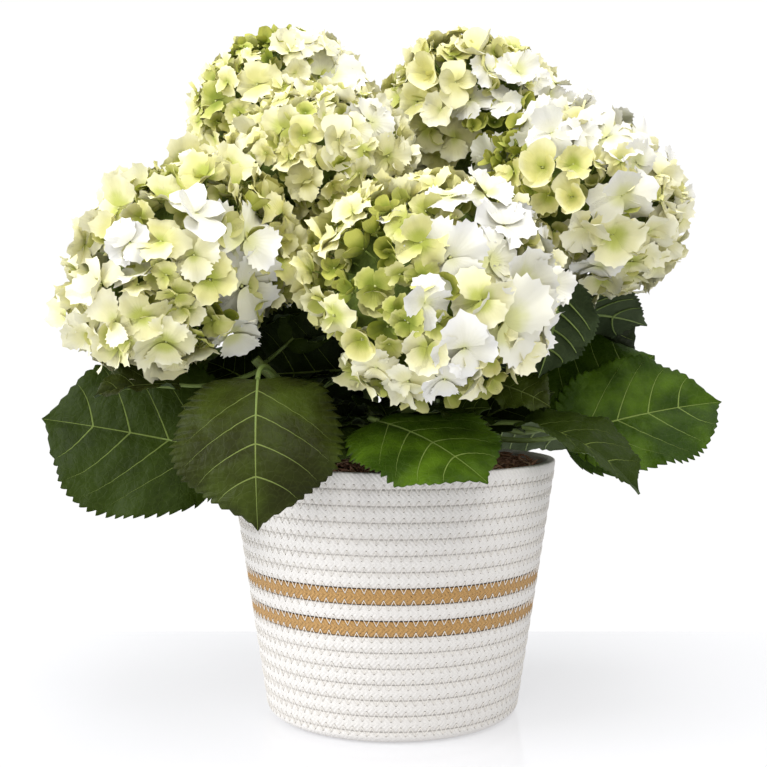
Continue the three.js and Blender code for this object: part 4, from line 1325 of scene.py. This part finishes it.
def petal_material(name, eye, middle, margin):
    """A petal finish that runs from the colour at the eye to the colour at the margin."""
    material, tree, shader = new_material(name, Roughness=0.6, Sheen_Weight=0.05, Specular_IOR_Level=0.3)
    colours = {"Eye": srgb(*eye), "Middle": srgb(*middle), "Margin": srgb(*margin)}
    colour = add_node(tree, "ShaderNodeGroup", colours, node_tree=PETAL)
    feed(tree, shader.inputs["Base Color"], colour.outputs["Color"])
    feed(tree, shader.inputs["Normal"], bump(tree, colour.outputs["Height"], 0.0001))
    return material


# Each tint: its finish, a floret's radius and its distance from the centre as shares of the head's reach,
# and its kind.
TINTS = {
    "white": (petal_material("petal_white", (216, 217, 156), (232, 230, 213), (236, 235, 230)),
              0.24, 0.94, "fringed"),
    "ivory": (petal_material("petal_ivory", (190, 196, 98), (231, 227, 177), (243, 240, 212)),
              0.205, 0.93, "rounded"),
    "cream": (petal_material("petal_cream", (172, 180, 76), (218, 214, 143), (239, 235, 190)),
              0.18, 0.92, "rounded"),
    "lime": (petal_material("petal_lime", (134, 147, 44), (182, 186, 90), (220, 217, 150)),
             0.14, 0.9, "rounded"),
    "green": (petal_material("petal_green", (96, 112, 26), (136, 147, 46), (184, 185, 84)),
              0.125, 0.87, "cupped"),
}
TINT_ORDER = list(TINTS)

# %% Seats for the florets
SEATS = {"outer": 900, "deep": 520}
ROOM = {"outer": 0.5, "deep": 0.62}  # the least distance of two florets as a share of both radii
DEEP_SHARE, DEEP_SIZE = 0.8, 0.14
# The small deep florets take greener, darker tints than the ones outside them: partly their own colour,
# partly painted shade deep in the head.
DEEP_TINTS = {"white": "cream", "ivory": "lime", "cream": "lime", "lime": "green", "green": "green"}
REACH_DOWN = 142
HEAD_ROOM, RIM_LIMIT, RIM_SHARE = 0.03, 0.99, 0.95
CANE_ROOM, LEAF_ROOM = 5.0, 2.6
DRAWING_IN, DRAWS = 0.975, 8
TILT, FLORET_SEED = 0.42, 40
TOWARDS_EYE = 0.9  # how strongly the listed florets turn to the front
EDGE_ON = 60  # a floret that looks up by more than this leaves room for others
# The lower outline of a head: how far right of its centre and how far above it, in mm.
HEM = {"front": ((-70, -52, -44, -7, 15, 55, 72), (-18, -25, -58, -68, -60, -38, -20))}

# %% Tints by direction
# The tint of a head's florets by direction: each takes the tint of the nearest direction listed. The white
# spots on the front, right and back right heads are partly their own colour and partly painted light, making
# those sides look more brightly lit.
SPOTS = {
    "front": [((-0.5, -0.7, 0.4), "green"), ((-0.1, -0.95, 0.2), "lime"), ((-0.55, -0.85, 0), "green"),
              ((-0.2, -0.9, -0.35), "lime"), ((0.5, -0.8, 0.3), "white"), ((0.65, -0.7, -0.3), "white"),
              ((-0.6, -0.6, -0.4), "cream"), ((-0.3, -0.7, -0.7), "ivory"), ((0.3, -0.75, -0.6), "ivory"),
              ((0.1, -0.3, 1), "cream"), ((0.4, 0.6, 0.6), "ivory"), ((-0.9, -0.2, 0.5), "cream"),
              ((-0.5, 0.5, 0.7), "cream"), ((0, 0.8, -0.3), "lime")],
    "left": [((-0.25, -0.75, 0.6), "lime"), ((-0.95, -0.4, 0.2), "ivory"), ((0.5, -0.85, 0.3), "cream"),
             ((0.1, -0.9, -0.4), "lime"), ((-0.3, -0.95, 0.05), "cream"), ((-0.35, -0.7, -0.65), "ivory"),
             ((-0.6, -0.7, -0.2), "cream"), ((0, 0.2, 1), "ivory"), ((-0.7, 0.6, 0.3), "cream"),
             ((0.4, 0.8, 0.2), "lime"), ((-0.75, -0.6, 0.5), "ivory")],
    "right": [((-0.6, -0.7, 0.3), "green"), ((-0.3, -0.9, 0.1), "cream"), ((0, -1, -0.1), "cream"),
              ((-0.1, -0.4, 0.9), "white"), ((0.6, -0.7, 0.35), "white"), ((0.5, -0.8, 0), "ivory"),
              ((0.2, -0.85, -0.55), "ivory"), ((0.7, -0.6, -0.3), "ivory"), ((0.6, 0.6, 0.5), "ivory"),
              ((-0.3, 0.8, 0.3), "lime"), ((-0.6, -0.7, -0.3), "cream")],
    "upper_left": [((-0.5, -0.8, 0.3), "cream"), ((0.45, -0.85, 0.3), "ivory"), ((0, -0.3, 1), "ivory"),
                   ((-0.7, -0.4, 0.5), "cream"), ((0.2, -0.95, 0), "lime"), ((0.1, -0.9, -0.4), "cream"),
                   ((0, 0.9, 0.3), "lime")],
    "back_left": [((-0.75, -0.6, 0.25), "lime"), ((-0.1, -0.65, 0.8), "green"), ((0.55, -0.75, 0.4), "ivory"),
                  ((-0.3, -0.9, 0.2), "cream"), ((-0.9, -0.3, 0), "cream"), ((0.3, 0.7, 0.6), "ivory"),
                  ((-0.6, 0.6, 0.3), "cream")],
    "back_right": [((-0.55, -0.8, 0.3), "ivory"), ((0.15, -0.8, 0.6), "cream"), ((0.55, -0.75, 0.1), "white"),
                   ((0.1, -0.9, -0.3), "green"), ((-0.2, 0.7, 0.6), "ivory"), ((0.7, 0.5, 0.3), "cream"),
                   ((-0.5, -0.4, 0.8), "cream")],
    "low_back_left": [((-0.6, 0.6, 0.5), "ivory"), ((0.2, 0.9, 0.3), "cream"), ((-0.9, -0.1, 0.2), "lime"),
                      ((-0.3, 0.7, -0.5), "white"), ((0.6, 0.5, 0.6), "lime"), ((-0.2, 0.9, 0.7), "cream")],
    "low_back_right": [((0.5, 0.7, 0.5), "white"), ((-0.4, 0.9, 0.3), "cream"), ((0.9, 0.1, 0.2), "lime"),
                       ((0, 0.9, -0.4), "ivory"), ((0, 0.4, 0.9), "green")],
}

# %% Florets listed one by one
# The largest florets face the front. Each is listed: how far right of its head's centre and how far
# above it, its radius, its tint and kind, its spin and how far it looks up, in mm and degrees.
SHOWN = {
    "front": [(12, 22, 23, "white", "fringed", 30, 5), (45, 40, 18, "white", "rounded", 0, 20),
              (60, 5, 23, "white", "fringed", 15, 0), (46, -20, 26, "white", "fringed", 50, -10),
              (30, -5, 18, "ivory", "rounded", 20, 0), (-4, -6, 15, "white", "rounded", 70, 0),
              (20, -34, 17, "white", "rounded", 10, -10), (10, 56, 16, "white", "fringed", 0, 30),
              (32, 58, 17, "white", "fringed", 30, 30), (-26, 48, 15, "white", "fringed", 0, 75),
              (-6, 30, 15, "cream", "rounded", 20, 20), (-60, -14, 14, "ivory", "rounded", 0, 0),
              (-34, -46, 14, "ivory", "fringed", 0, -10), (-14, -53, 15, "ivory", "fringed", 20, -15),
              (8, -51, 14, "white", "fringed", 10, -20), (-42, -28, 13, "cream", "cupped", 10, 0)],
    "left": [(8, 34, 20, "white", "cupped", 20, 25), (42, 20, 26, "white", "fringed", 60, 0),
             (44, -14, 28, "white", "fringed", 45, 0), (6, 8, 16, "ivory", "fringed", 10, 20),
             (-34, -6, 17, "white", "fringed", 0, 75), (32, -44, 20, "white", "fringed", 30, -20),
             (-12, -46, 19, "ivory", "fringed", 0, -20), (-46, -34, 17, "ivory", "fringed", 20, -10),
             (-56, 26, 15, "ivory", "rounded", 30, 0), (-36, 16, 13, "white", "rounded", 40, 0),
             (-14, 46, 16, "ivory", "rounded", 10, 50), (66, 36, 14, "ivory", "rounded", 10, 30)],
    "right": [(20, 45, 22, "white", "rounded", 45, 25), (-20, 45, 17, "white", "rounded", 10, 15),
              (30, 4, 21, "white", "rounded", 20, 0), (-26, 22, 16, "cream", "cupped", 0, 0),
              (-6, 2, 15, "cream", "cupped", 20, 0), (50, -22, 18, "ivory", "rounded", 20, 0),
              (22, -24, 18, "ivory", "rounded", 0, 0), (36, -42, 17, "ivory", "fringed", 20, -10),
              (12, -44, 17, "white", "fringed", 0, -20), (58, 18, 15, "ivory", "rounded", 0, 0)],
    "upper_left": [(-26, 24, 16, "ivory", "fringed", 45, 0), (-10, 18, 14, "cream", "cupped", 0, 0),
                   (14, 15, 17, "ivory", "cupped", 0, 0), (38, 28, 18, "white", "fringed", 0, 15),
                   (50, 4, 16, "ivory", "fringed", 20, 0), (-50, 20, 15, "ivory", "rounded", 0, 0),
                   (-27, 0, 15, "cream", "rounded", 20, 0)],
    "back_left": [(36, 30, 28, "white", "fringed", 20, 15), (48, 14, 20, "white", "fringed", 60, 0),
                  (18, 50, 14, "ivory", "rounded", 0, 20), (-18, 20, 18, "cream", "rounded", 0, 0),
                  (-52, 8, 16, "lime", "rounded", 0, 0)],
    "back_right": [(0, 50, 16, "ivory", "cupped", 0, 20), (-38, 35, 17, "cream", "cupped", 0, 0),
                   (-46, 12, 17, "cream", "rounded", 0, 0), (-15, 26, 16, "cream", "cupped", 0, 0),
                   (50, 36, 19, "ivory", "fringed", 0, 0), (-6, 14, 15, "white", "fringed", 0, 40),
                   (20, 12, 14, "white", "rounded", 0, 20), (-18, -16, 18, "ivory", "rounded", 0, 0),
                   (-38, -8, 16, "ivory", "rounded", 20, 0), (36, 8, 15, "white", "fringed", 0, 10),
                   (-30, -30, 15, "cream", "rounded", 0, 0)],
}

# %% Room for a floret
EYE_POINT = np.array(camera.location) / MM


def seat_share(points, head):
    """How far points lie from a head's centre, as a share of its reach."""
    return np.linalg.norm(points - head_centre(head), axis=-1) / head["reach"]


def in_own_space(points, name):
    """True where every point is nearer to its own head than to any other."""
    own = seat_share(points, HEADS[name])
    clear = np.ones(points.shape[:-1], bool)
    for other, head in HEADS.items():
        if other != name:
            clear &= own < seat_share(points, head) - HEAD_ROOM
    return clear


EVERY = 7  # one in so many blade points stands for its leaf
near_leaf = np.concatenate(blade_points)[::EVERY]
leaf_tree = KDTree(len(near_leaf))
for i, point in enumerate(near_leaf):
    leaf_tree.insert(point, i)
leaf_tree.balance()
cane_lines = np.concatenate([bezier(c, np.linspace(0, 0.97, 90)) for c in CANES.values()])


def has_room(rim, name):
    """True if a floret's rim keeps to its head's space and off the canes and the leaves."""
    if not in_own_space(rim, name).all():
        return False
    if np.linalg.norm(rim[:, None] - cane_lines[None], axis=-1).min() < CANE_ROOM:
        return False
    return all(leaf_tree.find(point)[2] > LEAF_ROOM for point in rim)

# %% Places on a head
def head_frame(name):
    """Turns a head's own axes, its crown along +Z, into the plant's."""
    return np.array(Vector((0, 0, 1)).rotation_difference(Vector(head_axis(HEADS[name]))).to_matrix())


def head_radii(name):
    """A head's radii along its own axes."""
    head = HEADS[name]
    return np.array([1, 1, head["flat"]]) * head["reach"]


def seat_frames(name, count):
    """Golden-angle places on a head of unit reach, from its crown down."""
    i = np.arange(count)
    height = 1 - (2 * i + 1) / count
    keep = height > math.cos(math.radians(REACH_DOWN))
    polar, around = np.arccos(height[keep]), math.pi * (3 - math.sqrt(5)) * i[keep]
    flat = np.stack([np.sin(polar) * np.cos(around), np.sin(polar) * np.sin(around),
                     HEADS[name]["flat"] * np.cos(polar)], -1)
    return flat @ head_frame(name).T


def seat_in_view(name, across, above):
    """The place on a head of unit reach that the camera sees at an offset from the head's centre."""
    head = HEADS[name]
    aim = head_centre(head) + (across, 0, above)
    start = (EYE_POINT - head_centre(head)) @ head_frame(name) / head_radii(name)
    ahead = unit((aim - EYE_POINT) @ head_frame(name) / head_radii(name))
    along = start @ ahead
    inside = along ** 2 - start @ start + 1
    place = start + ahead * (-along - math.sqrt(max(inside, 0)))
    return (unit(place) * (1, 1, head["flat"])) @ head_frame(name).T


def fitted(name, seat, out, radius):
    """A floret's seat, drawn in until its rim keeps within reach; None if there is no room for it."""
    centre = head_centre(HEADS[name])
    side = unit(np.cross(out, (0.3, 0.2, 0.93)))
    turn = np.linspace(0, 2 * math.pi, 9)[:-1, None]
    rim = RIM_SHARE * radius * (np.cos(turn) * side + np.sin(turn) * np.cross(out, side))
    for _ in range(DRAWS):
        reached = np.linalg.norm((seat + rim - centre) @ head_frame(name) / head_radii(name), axis=1)
        if reached.max() <= RIM_LIMIT:
            break
        seat = centre + (seat - centre) * DRAWING_IN
    return seat if has_room(seat + rim, name) else None


def below_hem(name, seat, radius):
    """True where a floret would hang below the lower outline of its head."""
    across, _, above = seat - head_centre(HEADS[name])
    return name in HEM and above - 0.6 * radius < np.interp(across, *HEM[name])

# %% Seat every floret
seats = {tint: [] for tint in TINTS}
stalklets = []
STALKLET_FOOT, STALKLET_BEND, STALKLET_FROM, STALKLET_STEPS = 0.45, 0.4, 0.35, 5


def add_floret(name, tint, kind, seat, out, spin, radius, rng):
    """Notes one floret and the stalklet that carries it."""
    pick = list(FLORET_KINDS).index(kind) * SHAPES_EACH + rng.integers(SHAPES_EACH)
    seats[tint].append((seat, out, spin, radius, pick, rng.uniform()))
    head = HEADS[name]
    foot = head_centre(head) - STALKLET_FOOT * head["reach"] * head_axis(head)
    bend = head_centre(head) * (1 - STALKLET_BEND) + seat * STALKLET_BEND + rng.normal(0, 2, 3)
    stalklets.append(bezier([foot, bend, seat - out], np.linspace(STALKLET_FROM, 1, STALKLET_STEPS)))


def seat_head(name, rng):
    """Seats a head's florets: the listed ones, then the outer layer, then the small deep ones."""
    taken = {"outer": [], "deep": []}
    head = HEADS[name]
    centre, reach = head_centre(head), head["reach"]
    for across, above, radius, tint, kind, spin, up in SHOWN.get(name, []):
        place = seat_in_view(name, across, above)
        out = unit(unit(place) + TOWARDS_EYE * unit(EYE_POINT - centre))
        out = np.array(Matrix.Rotation(math.radians(up), 3, "X").inverted() @ Vector(out))
        _, _, depth, _ = TINTS[tint]
        seat = fitted(name, centre + place * reach * depth, out, radius)
        if seat is None:
            print("  no room for the floret at", across, above)
            continue
        if up < EDGE_ON:
            taken["outer"].append((*seat, radius))
        add_floret(name, tint, kind, seat, out, math.radians(spin), radius, rng)
    directions, labels = zip(*SPOTS[name])
    spots = unit(directions)
    for layer, count in SEATS.items():
        frames = seat_frames(name, count)
        nearness = unit(frames) @ spots.T + rng.normal(0, 0.07, (len(frames), len(labels)))
        tints = [labels[k] for k in nearness.argmax(axis=1)]
        for k in sorted(rng.permutation(len(frames)), key=lambda k: TINT_ORDER.index(tints[k])):
            if layer == "outer":
                tint = tints[k]
                _, size, depth, kind = TINTS[tint]
            else:
                tint, size, depth, kind = DEEP_TINTS[tints[k]], DEEP_SIZE, DEEP_SHARE, "cupped"
            radius = reach * size * rng.uniform(0.8, 1.15)
            seat = centre + frames[k] * reach * (depth + rng.uniform(-0.06, 0.02))
            if below_hem(name, seat, radius):
                continue
            if taken[layer]:
                others = np.array(taken[layer])
                apart = np.linalg.norm(others[:, :3] - seat, axis=1)
                if (apart < ROOM[layer] * (others[:, 3] + radius)).any():
                    continue
            out = unit(unit(frames[k]) + rng.normal(0, TILT, 3))
            seat = fitted(name, seat, out, radius)
            if seat is not None:
                taken[layer].append((*seat, radius))
                add_floret(name, tint, kind, seat, out, rng.uniform(0, 2 * math.pi), radius, rng)
    print(name, "florets:", len(taken["outer"]), "and deep:", len(taken["deep"]))


for number, name in enumerate(HEADS):
    seat_head(name, np.random.default_rng(FLORET_SEED + number))

# %% Florets by tint
replaced = [n for n in frame["nodes"] if n.startswith("flower_head_")]
for tint, rows in seats.items():
    points, outs, spins, radii, picks, tones = map(np.array, zip(*rows))
    finish, _, _, _ = TINTS[tint]
    piece = set_shapes("florets_" + tint, FLORET_BOX, points, facing(outs, spins), radii, picks, tones,
                       finish)
    settle(piece, "blossom", *replaced)
    replaced = []
clear_box(FLORET_BOX)

# %% Eyes and stalklets
eye_green = mottled_material("floret_eye", (168, 182, 92), (228, 226, 160), 700.0, Roughness=0.5)
ring = np.arange(5) * 2 * math.pi / 5
eye = np.concatenate([np.stack([np.cos(ring), np.sin(ring), 0 * ring], -1), [[0, 0, 1.0], [0, 0, -0.5]]])
eye_faces = [(i, (i + 1) % 5, 5) for i in range(5)] + [((i + 1) % 5, i, 6) for i in range(5)]
eye_box = shape_box("eye", [(eye, eye_faces, None)])
rows = [row for group in seats.values() for row in group]
points, outs, spins, radii, picks, tones = map(np.array, zip(*rows))
eyes = set_shapes("floret_eyes", eye_box, points + 0.6 * outs, facing(outs, spins), 0.5 + 0.03 * radii,
                  0 * picks, tones, eye_green)
settle(eyes, "blossom")
clear_box(eye_box)

stalklet_green = mottled_material("stalklet", (116, 142, 58), (178, 192, 104), 80.0, Roughness=0.6)
slender = np.linspace(0.9, 0.5, STALKLET_STEPS)
fan = bars("stalklets", stalklets, [slender] * len(stalklets), 3, stalklet_green)
settle(fan, "blossom")

# %% Dark green hearts inside the heads: lumpy balls, painted shade in the gaps between the florets
heart_shade = mottled_material("head_heart", (58, 74, 24), (128, 148, 60), 140.0, 4.0, 0.003, Roughness=0.85)
HEART_SHARE, HEART_LUMPS = 0.68, 0.05
HEART_ROWS, HEART_AROUND, HEART_END = 22, 36, 0.04
polar = np.linspace(HEART_END, math.pi - HEART_END, HEART_ROWS)[:, None]
around = np.arange(HEART_AROUND) * 2 * math.pi / HEART_AROUND
ball = np.stack([np.sin(polar) * np.cos(around), np.sin(polar) * np.sin(around),
                 np.cos(polar) + 0 * around], -1)
ball *= (1 + HEART_LUMPS * np.sin(7 * around) * np.sin(5 * polar))[..., None]
ball_sides = grid_faces(HEART_ROWS, HEART_AROUND, closed_rows=True)[:, ::-1]
ball_ends = np.stack([np.arange(HEART_AROUND), HEART_ROWS * HEART_AROUND - 1 - np.arange(HEART_AROUND)])
heart_points, heart_faces = [], []
for number, (name, head) in enumerate(HEADS.items()):
    first = number * HEART_ROWS * HEART_AROUND
    grown = (ball * HEART_SHARE * head_radii(name)) @ head_frame(name).T + head_centre(head)
    heart_points.append(grown.reshape(-1, 3))
    heart_faces += (ball_sides + first).tolist() + (ball_ends + first).tolist()
hearts = make_object("head_hearts", np.concatenate(heart_points), heart_faces, [heart_shade])
settle(hearts, "blossom")
